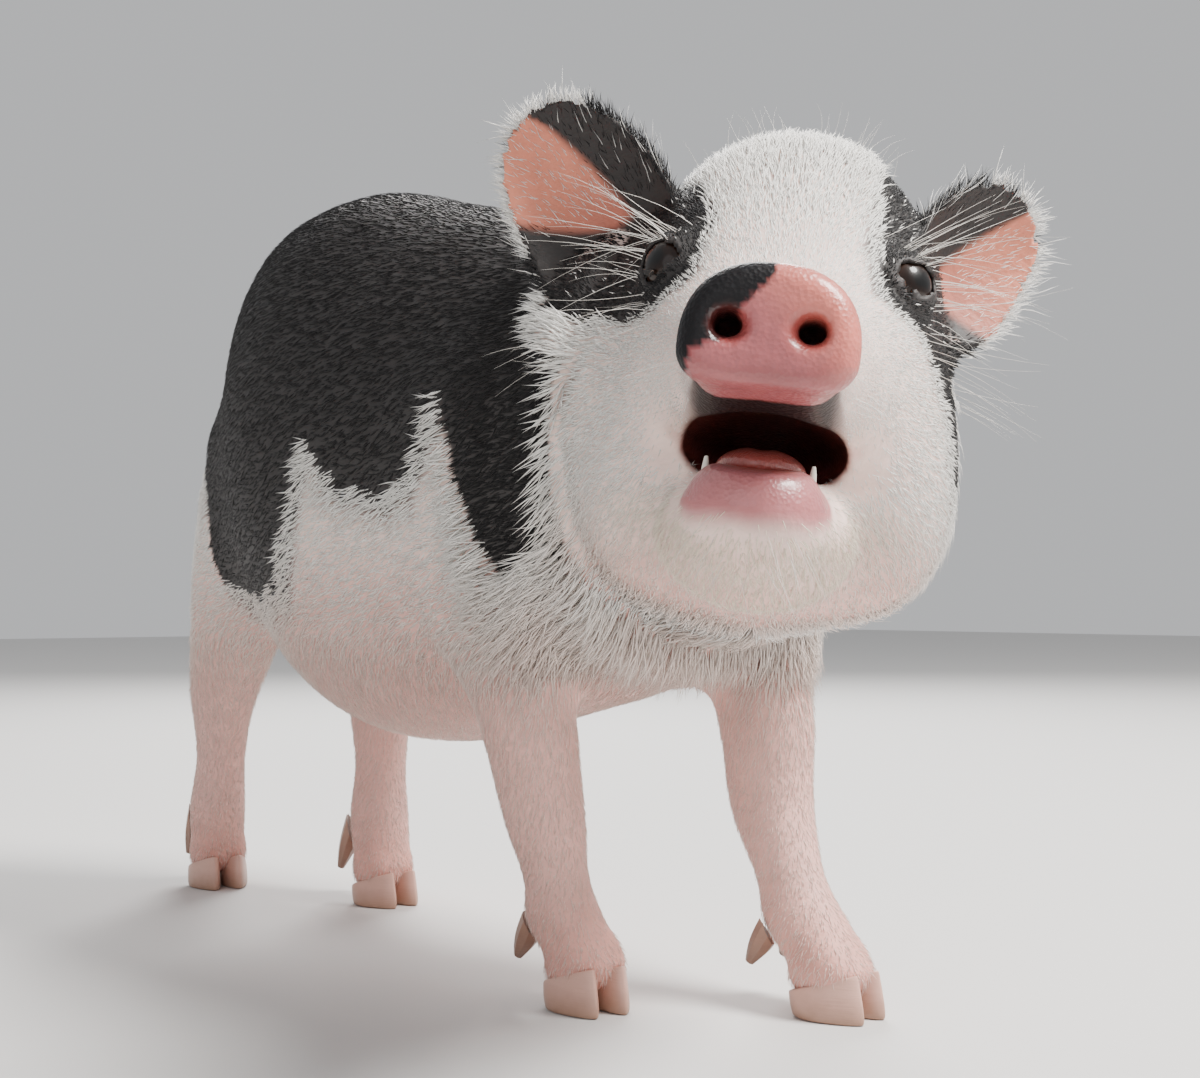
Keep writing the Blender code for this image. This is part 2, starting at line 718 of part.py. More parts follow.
def tooth(name, sign, base):
    """A needle tooth of the lower jaw."""
    points = []
    for up, radius in ((-0.0030, 0.0014), (0.0006, 0.0012), (0.0026, 0.0003)):
        for i in range(5):
            turn = 2 * math.pi * i / 5
            move = (radius * math.cos(turn), radius * math.sin(turn), up)
            points.append(HEAD @ (Vector((TOOTH[0] * sign, *TOOTH[1:])) + Vector(move)))
    return fitted(hull(name, points), base)


def tail(base):
    """A slim tail that hangs with a loose bend."""
    points, faces = [], []
    sides = 10
    count = 14
    rows = curve(np.linspace(0, 1, count), TAIL).T
    lines = np.gradient(rows[:, :3], axis=0)
    for row, line in zip(rows, lines):
        a = Vector(line).cross(Vector((1, 0, 0))).normalized()
        b = Vector(line).cross(a).normalized()
        for j in range(sides):
            turn = 2 * math.pi * j / sides
            points.append(Vector(row[:3]) + (a * math.cos(turn) + b * math.sin(turn)) * row[3])
    for i in range(count - 1):
        for j in range(sides):
            k = (j + 1) % sides
            faces.append((i * sides + j, i * sides + k, (i + 1) * sides + k, (i + 1) * sides + j))
    faces.append(tuple(range(sides)))
    faces.append(tuple((count - 1) * sides + j for j in reversed(range(sides))))
    mesh = bpy.data.meshes.new("tail")
    mesh.from_pydata([tuple(p) for p in points], [], faces)
    obj = bpy.data.objects.new("tail", mesh)
    bpy.context.scene.collection.objects.link(obj)
    bm = bmesh.new()
    bm.from_mesh(mesh)
    bmesh.ops.triangulate(bm, faces=bm.faces)
    bmesh.ops.recalc_face_normals(bm, faces=bm.faces)
    bm.to_mesh(mesh)
    bm.free()
    return fitted(obj, base)


def across_head(back):
    """A point and a normal of the plane across the head, some way behind the snout's tip."""
    return HEAD @ Vector((0, back, 0)), HEAD.to_3x3() @ Vector((0, 1, 0))


def front_pieces():
    """The nose disc, the muzzle, the lower jaw, the head and the neck."""
    fine = wrapped("snout", (-0.034, -0.004, -0.052), (0.034, 0.050, 0.036), 0.0009, HEAD)
    thinned(fine, 2700)
    point, normal = across_head(DISC_CUT)
    nose = sliced(copied(fine, "nose_disc"), point, normal)
    keep_lump(nose)
    point, normal = across_head(DISC_CUT)
    sliced(fine, point, -normal)
    point, normal = across_head(MUZZLE_CUT)
    sliced(fine, point, normal)
    jaw_piece = copied(fine, "lower_jaw")
    fine.name = "muzzle"
    keep_lump(fine, 0)
    keep_lump(jaw_piece, 1)
    head = wrapped("head", (-0.068, 0.030, -0.085), (0.068, 0.160, 0.076), 0.0015, HEAD)
    thinned(head, 3600)
    sliced(head, point, -normal)
    sliced(head, *HEAD_CUT)
    keep_lump(head)
    neck_piece = wrapped("neck", (-0.075, -0.170, 0.060), (0.075, -0.050, 0.235), 0.0028)
    thinned(neck_piece, 1500)
    sliced(neck_piece, HEAD_CUT[0], -Vector(HEAD_CUT[1]))
    sliced(neck_piece, *NECK_CUT)
    keep_lump(neck_piece)
    return [nose, fine, jaw_piece, head, neck_piece]


def trunk_pieces():
    """The chest, the abdomen and the hindquarters, without the free parts of the legs."""
    whole = wrapped("trunk", (-0.085, -0.150, 0.045), (0.085, 0.150, 0.250), 0.003)
    thinned(whole, 2500)
    for leg, (place, normal) in LEG_CUTS.items():
        turn = Vector(normal).to_track_quat("Z", "Y").to_matrix()
        boolean(whole, block(Vector(place) + Vector(normal).normalized() * GAP / 2, turn, LEG_BLOCK))
    keep_lump(whole)
    pieces = []
    parts = (("chest", NECK_CUT, CHEST_CUT), ("abdomen", CHEST_CUT, LOIN_CUT), ("hindquarters", LOIN_CUT, None))
    for name, start, end in parts:
        piece = copied(whole, name)
        sliced(piece, start[0], -Vector(start[1]))
        if end:
            sliced(piece, *end)
        keep_lump(piece)
        pieces.append(piece)
    bpy.data.objects.remove(whole)
    return pieces


def leg_pieces(leg):
    """The free part of a leg down to its claws, in two pieces."""
    joints = np.array([place for place, _, _ in LEGS[leg]])[2:]
    low, high = joints.min(axis=0) - 0.024, joints.max(axis=0) + 0.024
    low[2], high[2] = -0.004, 0.098
    wide = [(place, w + LEG_MARGIN, d + LEG_MARGIN) for place, w, d in LEGS[leg]]
    whole = wrapped(leg, low, high, 0.0017, only=lambda points: limb(points, wide))
    thinned(whole, 900)
    place, normal = LEG_CUTS[leg]
    sliced(whole, place, normal)
    heading = math.radians(HEADINGS[leg])
    foot = Vector(LEGS[leg][-1][0])
    foot.z = CORONET_HEIGHT
    fore = Vector((math.sin(heading), -math.cos(heading), 0))
    sliced(whole, foot, -Vector((-fore.x * CORONET_SLOPE, -fore.y * CORONET_SLOPE, 1)))
    keep_lump(whole)
    upper, lower = Vector(LEGS[leg][3][0]), Vector(LEGS[leg][4][0])
    middle = upper.lerp(lower, 0.45)
    line = (upper - lower).normalized()
    foot_piece = copied(whole, leg.replace("leg", "foot"))
    sliced(foot_piece, middle, line)
    sliced(whole, middle, -line)
    keep_lump(foot_piece)
    keep_lump(whole)
    return [whole, foot_piece]


def small_pieces(by_name):
    made = []
    for side, sign in (("left", 1), ("right", -1)):
        place = HEAD @ Vector((EYE_PLACE[0] * sign, EYE_PLACE[1], EYE_PLACE[2]))
        made.append(ball("eye_" + side, place, EYE_RADIUS - GAP / 2))
        made.append(ear("ear_" + side, sign, by_name["head"]))
    made.append(tail(by_name["hindquarters"]))
    for name, sign in (("tooth_left", 1), ("tooth_right", -1)):
        made.append(tooth(name, sign, by_name["lower_jaw"]))
    turn = HEAD.to_3x3().to_4x4()
    tongue = ball("tongue", HEAD @ Vector((0, 0.0335, -0.0198)), 1, TONGUE_RADII, (10, 6), turn)
    sliced(tongue, *across_head(MUZZLE_CUT))
    made.append(fitted(tongue, by_name["lower_jaw"]))
    for leg in LEGS:
        end = leg.replace("leg", "")
        foot = by_name[leg.replace("leg", "foot")]
        for name, side in (("left", 1), ("right", -1)):
            made.append(claw("claw_" + end + "_" + name, leg, side))
            made.append(dewclaw("dewclaw_" + end + "_" + name, leg, side, foot))
    return made


def lock(root, normal, lie, length, width, lift, sway, deep=LOCK_THICK, sink=LOCK_SINK):
    """A flat tapered lock of hair, rooted in the skin and lying along it."""
    across = normal.cross(lie).normalized()
    bm = bmesh.new()
    rings = []
    for t, wide, thick in LOCK_FORM:
        place = root + lie * (length * t - sink * 0.5) + across * (sway * t * t)
        place = place + normal * (lift * t - sink * (1 - t) ** 2)
        w, h = across * (width / 2 * wide), normal * (deep / 2 * thick)
        rings.append([bm.verts.new(place + move) for move in (w, h, -w, -h)])
    tip = bm.verts.new(root + lie * length + across * sway + normal * lift)
    bm.faces.new(rings[0])
    for low, high in zip(rings, rings[1:]):
        for i in range(4):
            bm.faces.new((low[i], low[i - 1], high[i - 1], high[i]))
    for i in range(4):
        bm.faces.new((rings[-1][i], rings[-1][i - 1], tip))
    bmesh.ops.triangulate(bm, faces=bm.faces)
    bmesh.ops.recalc_face_normals(bm, faces=bm.faces)
    mesh = bpy.data.meshes.new("lock")
    bm.to_mesh(mesh)
    bm.free()
    return bpy.data.objects.new("lock", mesh)


def fused(obj, locks):
    """Join the locks to the piece they grow from."""
    group = bpy.data.collections.new("locks")
    bpy.context.scene.collection.children.link(group)
    for one in locks:
        group.objects.link(one)
    change = obj.modifiers.new("fuse", "BOOLEAN")
    change.operation = "UNION"
    change.operand_type = "COLLECTION"
    change.collection = group
    change.solver = "MANIFOLD"
    modified(obj, change)
    for one in locks:
        bpy.data.objects.remove(one)
    bpy.data.collections.remove(group)
    keep_lump(obj)
    return obj


def surface(obj):
    view = bpy.context.evaluated_depsgraph_get()
    view.update()
    return BVHTree.FromObject(obj, view)


def rows_of_locks(tree, start, axis, out, count, arc, shift, length, width, lift, seed):
    """Locks in a row round an axis. arc is the first and the last angle from out, in degrees."""
    rng = np.random.default_rng(seed)
    axis = axis.normalized()
    out = (out - axis * out.dot(axis)).normalized()
    aside = axis.cross(out)
    locks = []
    for i in range(count):
        angle = math.radians(arc[0] + (arc[1] - arc[0]) * (i + 0.5 + rng.uniform(-0.25, 0.25)) / count)
        ray = out * math.cos(angle) + aside * math.sin(angle)
        begin = start + axis * (shift + rng.uniform(-0.002, 0.002)) + ray * RUFF_REACH
        place, normal, _, _ = tree.ray_cast(begin, -ray)
        if place is None or abs(normal.dot(axis)) > 0.8:
            continue
        lie = axis + Vector((0, 0, -LOCK_DROOP))
        lie = (lie - normal * lie.dot(normal)).normalized()
        size = rng.uniform(0.8, 1.15)
        wide, sway = width * rng.uniform(0.85, 1.15), rng.uniform(-1, 1) * LOCK_SWAY
        locks.append(lock(place, normal, lie, length * size, wide, lift, sway))
    return locks


def tassel(tree):
    """The long hair at the tail's end."""
    last, before = Vector(TAIL[-1][1:4]), Vector(TAIL[-2][1:4])
    line = (last - before).normalized()
    rng = np.random.default_rng(5)
    locks = []
    for i in range(TASSEL):
        turn = 2 * math.pi * i / TASSEL
        ray = (Vector((math.cos(turn), 0, 0)) + line.cross(Vector((1, 0, 0))) * math.sin(turn)).normalized()
        start = last - line * (0.005 + 0.009 * (i % 2))
        place, normal, _, _ = tree.ray_cast(start, ray)
        lie = (line - normal * line.dot(normal)).normalized()
        length, sway = TASSEL_LOCK[0] * rng.uniform(0.85, 1.15), TASSEL_LOCK[3] * rng.uniform(-1, 1)
        locks.append(lock(place, normal, lie, length, TASSEL_LOCK[1], TASSEL_LOCK[2], sway, *TASSEL_LOCK[4:]))
    return locks


def clear_of(one, trees):
    """Whether a lock stays LOCK_CLEAR away from the pieces in trees."""
    spots = [vertex.co for vertex in one.data.vertices]
    nearest = [tree.find_nearest(spot)[3] for tree in trees for spot in spots]
    return min(nearest) > LOCK_CLEAR


def ruff(obj, rows, seed, ears):
    start, axis = Vector(RUFF_START), Vector(RUFF_AXIS)
    tree = surface(obj)
    locks = []
    for number, (side, shift, count, length) in enumerate(rows):
        arc = RUFF_ARC if side < 0 else (-RUFF_ARC[1], -RUFF_ARC[0])
        out = Vector((side, 0, 0))
        form = (shift, length, RUFF_WIDTH, RUFF_LIFT, seed + number)
        made = rows_of_locks(tree, start, axis, out, count, arc, *form)
        locks += [one for one in made if clear_of(one, ears)]
    return locks


def haired(by_name):
    """The ruff behind the jowls and on the neck, and the tail's tassel."""
    ears = [surface(by_name["ear_left"]), surface(by_name["ear_right"])]
    neck_piece, head, tail_piece = by_name["neck"], by_name["head"], by_name["tail"]
    fitted(fused(neck_piece, ruff(neck_piece, NECK_ROWS, 10, ears)), by_name["chest"])
    fitted(fused(head, ruff(head, HEAD_ROWS, 30, ears)), neck_piece)
    fused(tail_piece, tassel(surface(tail_piece)))


def painted(obj):
    color, roughness = next(look for part, look in LOOKS.items() if part in obj.name)
    material = bpy.data.materials.new(obj.name)
    material.use_nodes = True
    shader = material.node_tree.nodes["Principled BSDF"]
    shader.inputs["Base Color"].default_value = (*color, 1)
    shader.inputs["Roughness"].default_value = roughness
    obj.data.materials.clear()
    obj.data.materials.append(material)


def place_and_finish(pieces):
    """Put the middle of the box's bottom at the origin and give each piece its shading and material."""
    spots = np.concatenate([numbers(piece.data) for piece in pieces])
    low, high = spots.min(axis=0), spots.max(axis=0)
    move = Matrix.Translation((-(low[0] + high[0]) / 2, -(low[1] + high[1]) / 2, -low[2]))
    for piece in pieces:
        piece.data.transform(move)
        piece.data.shade_smooth()
        piece.data.set_sharp_from_angle(angle=math.radians(42))
        painted(piece)


def main():
    for obj in list(bpy.data.objects):
        bpy.data.objects.remove(obj)
    pieces = front_pieces() + trunk_pieces()
    for leg in LEGS:
        pieces += leg_pieces(leg)
    pieces += small_pieces({piece.name: piece for piece in pieces})
    haired({piece.name: piece for piece in pieces})
    place_and_finish(pieces)


main()
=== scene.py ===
"""The looks of a young miniature pig over its solids: skin, coat, bristles, eyes, mouth and hooves.

Metres. The forms are measured in the pig's own axes: it faces -Y, its left side is +X. SHIFT takes them
into the frame of the solids. The skin is one smooth form, wrapped a coat's depth inside the solids, and
the coat is tufts of mesh that are rooted in it.
"""

import math
from types import SimpleNamespace

import bmesh
import bpy
import numpy as np
import openvdb
from mathutils import Matrix, Vector


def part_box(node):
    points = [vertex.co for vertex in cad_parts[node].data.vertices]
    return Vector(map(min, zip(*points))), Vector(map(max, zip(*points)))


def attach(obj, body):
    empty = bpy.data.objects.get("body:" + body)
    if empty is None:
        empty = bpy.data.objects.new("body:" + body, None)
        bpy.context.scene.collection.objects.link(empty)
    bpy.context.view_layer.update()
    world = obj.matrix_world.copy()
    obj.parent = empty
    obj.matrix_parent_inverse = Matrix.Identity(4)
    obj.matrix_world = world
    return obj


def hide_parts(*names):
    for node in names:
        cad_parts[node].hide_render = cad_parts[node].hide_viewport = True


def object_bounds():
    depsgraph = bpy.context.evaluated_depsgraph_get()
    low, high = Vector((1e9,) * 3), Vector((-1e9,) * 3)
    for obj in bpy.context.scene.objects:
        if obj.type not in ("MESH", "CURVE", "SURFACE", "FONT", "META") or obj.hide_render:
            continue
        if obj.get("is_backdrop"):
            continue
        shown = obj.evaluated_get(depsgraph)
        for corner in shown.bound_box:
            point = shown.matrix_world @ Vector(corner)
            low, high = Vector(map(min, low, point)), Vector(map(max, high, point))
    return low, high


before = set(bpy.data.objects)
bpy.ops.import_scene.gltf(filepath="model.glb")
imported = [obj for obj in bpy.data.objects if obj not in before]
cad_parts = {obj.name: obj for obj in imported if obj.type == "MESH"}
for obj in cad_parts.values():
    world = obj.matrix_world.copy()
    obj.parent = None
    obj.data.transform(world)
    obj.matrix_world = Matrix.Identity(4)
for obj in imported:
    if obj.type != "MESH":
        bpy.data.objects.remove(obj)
cad_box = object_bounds()

# Trunk sections: place along Y, centre height, half height, half width
TRUNK = [
    (-0.100, 0.140, 0.051, 0.045),
    (-0.075, 0.138, 0.061, 0.054),
    (-0.040, 0.1395, 0.0715, 0.060),
    (0.000, 0.141, 0.081, 0.0625),
    (0.035, 0.1465, 0.085, 0.0605),
    (0.060, 0.151, 0.0815, 0.054),
    (0.080, 0.157, 0.0745, 0.0445),
    (0.097, 0.163, 0.0625, 0.0350),
    (0.110, 0.165, 0.0480, 0.0250),
    (0.119, 0.165, 0.0300, 0.0145),
]
TRUNK_ENDS = 0.005  # how far the rounded ends go beyond the last sections

# The joints of each leg, from the trunk down: place, half width across, half depth fore and aft
LEGS = {
    "foreleg_right": [
        ((-0.034, -0.070, 0.150), 0.024, 0.036),
        ((-0.036, -0.064, 0.105), 0.019, 0.026),
        ((-0.029, -0.068, 0.070), 0.0125, 0.0142),
        ((-0.0245, -0.069, 0.046), 0.0108, 0.0114),
        ((-0.0215, -0.070, 0.031), 0.0090, 0.0096),
        ((-0.0190, -0.0705, 0.021), 0.0105, 0.0106),
        ((-0.0170, -0.0755, 0.012), 0.0100, 0.0095),
    ],
    "foreleg_left": [
        ((0.031, -0.078, 0.145), 0.023, 0.034),
        ((0.032, -0.080, 0.105), 0.018, 0.025),
        ((0.0285, -0.094, 0.070), 0.0122, 0.0140),
        ((0.0270, -0.0985, 0.046), 0.0106, 0.0112),
        ((0.0258, -0.106, 0.031), 0.0088, 0.0094),
        ((0.0258, -0.1115, 0.021), 0.0104, 0.0104),
        ((0.0260, -0.119, 0.012), 0.0100, 0.0095),
    ],
    "hindleg_right": [
        ((-0.022, 0.078, 0.150), 0.022, 0.038),
        ((-0.027, 0.083, 0.118), 0.019, 0.033),
        ((-0.024, 0.107, 0.089), 0.0135, 0.0195),
        ((-0.0165, 0.131, 0.068), 0.0105, 0.0132),
        ((-0.0130, 0.140, 0.046), 0.0088, 0.0100),
        ((-0.0110, 0.1465, 0.027), 0.0102, 0.0108),
        ((-0.0100, 0.148, 0.013), 0.0098, 0.0096),
    ],
    "hindleg_left": [
        ((0.022, 0.068, 0.150), 0.022, 0.038),
        ((0.028, 0.062, 0.118), 0.020, 0.032),
        ((0.026, 0.078, 0.089), 0.0140, 0.0195),
        ((0.023, 0.089, 0.068), 0.0108, 0.0145),
        ((0.0205, 0.0865, 0.046), 0.0090, 0.0103),
        ((0.0190, 0.0845, 0.027), 0.0103, 0.0110),
        ((0.0180, 0.0805, 0.013), 0.0098, 0.0096),
    ],
}

# The neck's joints from the trunk forward: place, half width, half depth. The last lies in the head
NECK = [((0, -0.078, 0.142), 0.046, 0.055), ((0.001, -0.102, 0.146), 0.041, 0.051)]
HEAD_END = (0, 0.095, -0.006)
NECK_AT_HEAD = (0.038, 0.045)

# The head hangs on its snout's tip. Its own frame: side is to the pig's left, back is away from the
# snout, up. Angles in degrees: to the pig's right, snout down, left side down
SNOUT_TIP = (-0.068, -0.195, 0.150)
HEAD_YAW = 45.0
HEAD_PITCH = 3.0
HEAD_ROLL = 6.5

# Head sections: distance behind the snout's tip, centre, up, down, half width
SKULL = [
    (0.008, 0.000, 0.0130, 0.0130, 0.0155),
    (0.025, 0.000, 0.0165, 0.0165, 0.0195),
    (0.045, 0.001, 0.0230, 0.0210, 0.0265),
    (0.062, 0.004, 0.0415, 0.0280, 0.0325),
    (0.080, 0.008, 0.0550, 0.0360, 0.0380),
    (0.100, 0.010, 0.0590, 0.0410, 0.0400),
    (0.118, 0.010, 0.0505, 0.0400, 0.0370),
]
SKULL_ENDS = (0.003, 0.018)
SKULL_POWER = 2.15
CHEEK_PLACE = (0.0215, 0.086, -0.018)
CHEEK_RADII = (0.0225, 0.034, 0.029)
# The jaw's joints from the lip back: place, half width, half height
JAW = [
    ((0, 0.0265, -0.0305), 0.0148, 0.0130),
    ((0, 0.048, -0.0328), 0.0195, 0.0145),
    ((0, 0.085, -0.0320), 0.0290, 0.0180),
]

# The face, in the head's frame
EYE_PLACE = (0.0235, 0.0640, 0.0250)
EYE_RADIUS = 0.0080
EYE_AXIS = (0.66, -0.72, 0.20)
LID_OPEN = (0.0059, 0.0036)  # half width and half height of the opening
LID_LIFT = 0.0004  # how far the opening lies above the eye's middle
LID_THICK = 0.0009
LID_CLEAR = 0.0001  # between the lids and the eye
DISC_BACK = 0.0045  # the disc's middle plane
DISC_HALF_DEPTH = 0.0042
DISC_POWER = 2.4  # how square its outline is
DISC_HALF_WIDTH = 0.0170
DISC_WIDEST = -0.0028  # height of its widest part
DISC_ABOVE = 0.0168
DISC_BELOW = 0.0090
NOSTRIL_PLACE = (0.0073, 0.0, 0.0008)
NOSTRIL_RADII = (0.0038, 0.0024, 0.0034)
BORE_PLACE = (0.0004, 0.004, 0.0006)  # the nostril's inner part, from its mouth
BORE_RADII = (0.0026, 0.0120, 0.0023)
MOUTH_CORNER = (0.043, -0.0170)  # back, up
HOLLOW_PLACE = (0, 0.046, -0.0150)  # the mouth's hollow behind the lips
HOLLOW_RADII = (0.0170, 0.030, 0.0078)
TOOTH = (0.0105, 0.0285, -0.0183)  # across, back and up from the snout tip
MOUTH_UPPER = -0.185  # how the upper lip's edge falls with the distance to the corner
MOUTH_LOWER = 0.24  # the same for the lower lip's edge

# The ears, in the head's frame: root, tip, the way they open, depth of the cup, width as a share
EAR_SHAPES = {
    "ear_left": ((0.0335, 0.082, 0.0295), (0.0525, 0.099, 0.0545), (0.80, -1, -0.1), 0.0085, 0.86),
    "ear_right": ((0.0365, 0.085, 0.0325), (0.0675, 0.096, 0.0660), (0.25, -1, -0.1), 0.0085, 1.00),
}
# An ear's outline: part of its length, half widths above and below its middle line
EAR_OUTLINE = [
    (-0.60, 0.014, 0.015),
    (0.0, 0.0150, 0.0180),
    (0.25, 0.0178, 0.0207),
    (0.50, 0.0180, 0.0190),
    (0.75, 0.0150, 0.0150),
    (0.92, 0.0098, 0.0098),
    (1.0, 0.0040, 0.0040),
]
# Where the toes point, in degrees to the left, and how far each is from the middle of its foot
HEADINGS = {"foreleg_right": -8, "foreleg_left": 6, "hindleg_right": -10, "hindleg_left": 4}
TOE_APART = 0.0050
TOE_RADII = (0.0050, 0.0084, 0.0082)
LEG_END = 0.0090  # how far the rounded lower end goes on

TAIL_SKIN = 0.82  # half thickness of the tail's skin, as a share of the tail's
# The tail: part of its length, place, half thickness
TAIL = [
    (0.00, 0.000, 0.108, 0.180, 0.0050),
    (0.22, 0.001, 0.129, 0.179, 0.0043),
    (0.45, 0.005, 0.138, 0.163, 0.0037),
    (0.72, 0.003, 0.137, 0.143, 0.0031),
    (1.00, -0.002, 0.141, 0.124, 0.0020),
]


def floats(values):
    return np.array(values, np.float32)


def head_frame():
    """From the head's own frame to the pig's."""
    turn = (
        Matrix.Rotation(math.radians(-HEAD_YAW), 4, "Z")
        @ Matrix.Rotation(math.radians(-HEAD_PITCH), 4, "X")
        @ Matrix.Rotation(math.radians(HEAD_ROLL), 4, "Y")
    )
    return Matrix.Translation(SNOUT_TIP) @ turn


HEAD = head_frame()
HEAD_AXES = floats(HEAD.to_3x3())


def to_head(points):
    return (points - floats(SNOUT_TIP)) @ HEAD_AXES


def from_head(points):
    return points @ HEAD_AXES.T + floats(SNOUT_TIP)


def curve(places, table):
    """Smooth values between the rows of a table, one column for each value."""
    rows = floats(table)
    knots, values = rows[:, 0], rows[:, 1:]
    slopes = np.gradient(values, knots, axis=0)
    at = np.clip(places, knots[0], knots[-1])
    i = np.clip(np.searchsorted(knots, at, side="right") - 1, 0, len(knots) - 2)
    step = knots[i + 1] - knots[i]
    t = ((at - knots[i]) / step)[:, None]
    step = step[:, None]
    a = (2 * t**3 - 3 * t**2 + 1) * values[i] + (t**3 - 2 * t**2 + t) * step * slopes[i]
    b = (3 * t**2 - 2 * t**3) * values[i + 1] + (t**3 - t**2) * step * slopes[i + 1]
    return (a + b).T


def rounded(across, high, along, ratio):
    """Distance from an oval, given the offsets from its centre and the same as parts of its half sizes."""
    far = np.sqrt(across**2 + high**2 + along**2)
    return np.where(ratio > 1e-3, far * (1 - 1 / np.maximum(ratio, 1e-3)), -0.01)


def loft(side, along, up, table, ends, power=2.0):
    """Distance from a body with oval sections, with a round front and back end. The table's columns:
    place, centre, half heights up and down, half width."""
    centre, above, below, width = curve(along, table)
    z = up - centre
    height = np.where(z > 0, above, below)
    over = along - np.clip(along, table[0][0], table[-1][0])
    end = np.where(over < 0, ends[0], ends[1])
    powers = np.abs(side / width) ** power + np.abs(z / height) ** power + np.abs(over / end) ** power
    return rounded(side, z, over, powers ** (1 / power))


def ellipsoid(points, centre, radii, turn=None):
    """Distance from an ellipsoid, below zero inside. The columns of turn are its axes."""
    q = points - np.asarray(centre, np.float32)
    if turn is not None:
        q = q @ np.asarray(turn, np.float32)
    r = np.asarray(radii, np.float32)
    near = np.linalg.norm(q / r, axis=1)
    steep = np.linalg.norm(q / (r * r), axis=1)
    return near * (near - 1) / np.maximum(steep, 1e-6)


def segment(points, a, b, across, deep, side):
    """Distance from a tapered limb between two joints. across and deep are its half widths at both ends."""
    a, b = np.asarray(a, np.float32), np.asarray(b, np.float32)
    line = b - a
    length = np.linalg.norm(line)
    along = line / length
    front = np.cross(along, side)
    front /= np.linalg.norm(front)
    out = np.cross(front, along)
    q = points - a
    t = np.clip(q @ along / length, 0, 1)
    q = q - t[:, None] * line
    w = across[0] + (across[1] - across[0]) * t
    d = deep[0] + (deep[1] - deep[0]) * t
    x, y, z = q @ out, q @ front, q @ along
    ratio = np.sqrt((x / w) ** 2 + (y / d) ** 2 + (z / np.minimum(w, d)) ** 2)
    return rounded(x, y, z, ratio)


def limb(points, joints, side=(1, 0, 0), blend=0.006):
    found = None
    for (a, wa, da), (b, wb, db) in zip(joints, joints[1:]):
        piece = segment(points, a, b, (wa, wb), (da, db), np.asarray(side, np.float32))
        found = piece if found is None else union(found, piece, blend)
    return found


def union(a, b, blend):
    h = np.clip(0.5 + 0.5 * (b - a) / blend, 0, 1)
    return b + (a - b) * h - blend * h * (1 - h)


def cut(a, b, blend):
    """What is left of a without b."""
    return -union(-a, b, blend)


def trunk(p):
    table = [(y, z, high, high, wide) for y, z, high, wide in TRUNK]
    return loft(p[:, 0], p[:, 1], p[:, 2], table, (TRUNK_ENDS, TRUNK_ENDS))


def toes(p, leg):
    """The two toes above the claws."""
    heading = math.radians(HEADINGS[leg])
    left = np.array((math.cos(heading), math.sin(heading), 0))
    fore = np.array((math.sin(heading), -math.cos(heading), 0))
    foot = np.array(LEGS[leg][-1][0])
    found = None
    for side in (1, -1):
        centre = foot + left * side * TOE_APART + np.array((0, 0, -0.001))
        piece = ellipsoid(p, centre, TOE_RADII, np.array((left, fore, (0, 0, 1))).T)
        found = piece if found is None else np.minimum(found, piece)
    return found


def post(p, joints):
    """Distance from a leg: oval sections across its joints, with smooth values between them."""
    rows = sorted((place[2], place[0], place[1], wide, deep) for place, wide, deep in joints)
    x, y, wide, deep = curve(p[:, 2], rows)
    lean = np.gradient([row[2] for row in rows], [row[0] for row in rows])
    lean = np.interp(p[:, 2], [row[0] for row in rows], lean)
    stretch = np.sqrt(1 + lean**2)
    over = p[:, 2] - np.clip(p[:, 2], rows[0][0], rows[-1][0])
    side, back = p[:, 0] - x, (p[:, 1] - y) / stretch
    end = np.where(over < 0, LEG_END, 0.02)
    ratio = np.sqrt((side / wide) ** 2 + (back / deep) ** 2 + (over / end) ** 2)
    return rounded(side, back, over, ratio).astype(np.float32)


def legs(p):
    found = None
    for leg, joints in LEGS.items():
        piece = union(post(p, joints), toes(p, leg), 0.003)
        found = piece if found is None else np.minimum(found, piece)
    return found


def neck(p):
    back = from_head(floats(HEAD_END))
    return limb(p, [*NECK, (tuple(back), *NECK_AT_HEAD)], blend=0.02)


def disc(m):
    """The flat nose, with its rim."""
    q = m.copy()
    q[:, 1] -= DISC_BACK
    q[:, 2] -= DISC_WIDEST
    height = np.where(q[:, 2] > 0, DISC_ABOVE, DISC_BELOW)
    ratio = np.abs(q[:, 0] / DISC_HALF_WIDTH) ** DISC_POWER + np.abs(q[:, 2] / height) ** DISC_POWER
    edge = rounded(q[:, 0], q[:, 2], 0, ratio ** (1 / DISC_POWER))
    return -union(-edge, DISC_HALF_DEPTH - np.abs(q[:, 1]), 0.0060)


def jaw(m):
    return limb(m, JAW)


def mirrored(q):
    """The same points of the head, all brought to its left side."""
    m = q.copy()
    m[:, 0] = np.abs(m[:, 0])
    return m


def head_form(q):
    """The head without its ears, in its own frame."""
    m = mirrored(q)
    found = loft(m[:, 0], m[:, 1], m[:, 2], SKULL, SKULL_ENDS, SKULL_POWER)
    found = union(found, ellipsoid(m, CHEEK_PLACE, CHEEK_RADII), 0.014)
    found = union(found, jaw(m), 0.007)
    found = union(found, disc(m), 0.0025)
    return found


def middle(node):
    low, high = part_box(node)
    return (np.array(low) + np.array(high)) / 2


SHIFT = middle("eye_left") - np.array(HEAD @ Vector(EYE_PLACE))
FLESH = ["head", "muzzle", "nose_disc", "lower_jaw", "neck", "chest", "abdomen", "hindquarters", "tail"]
FLESH += ["ear_left", "ear_right"] + [leg for leg in LEGS] + [leg.replace("leg", "foot") for leg in LEGS]
CLAWS = [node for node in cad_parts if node.startswith("claw")]
DEWCLAWS = [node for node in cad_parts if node.startswith("dewclaw")]

SKIN_STEP = 0.0011
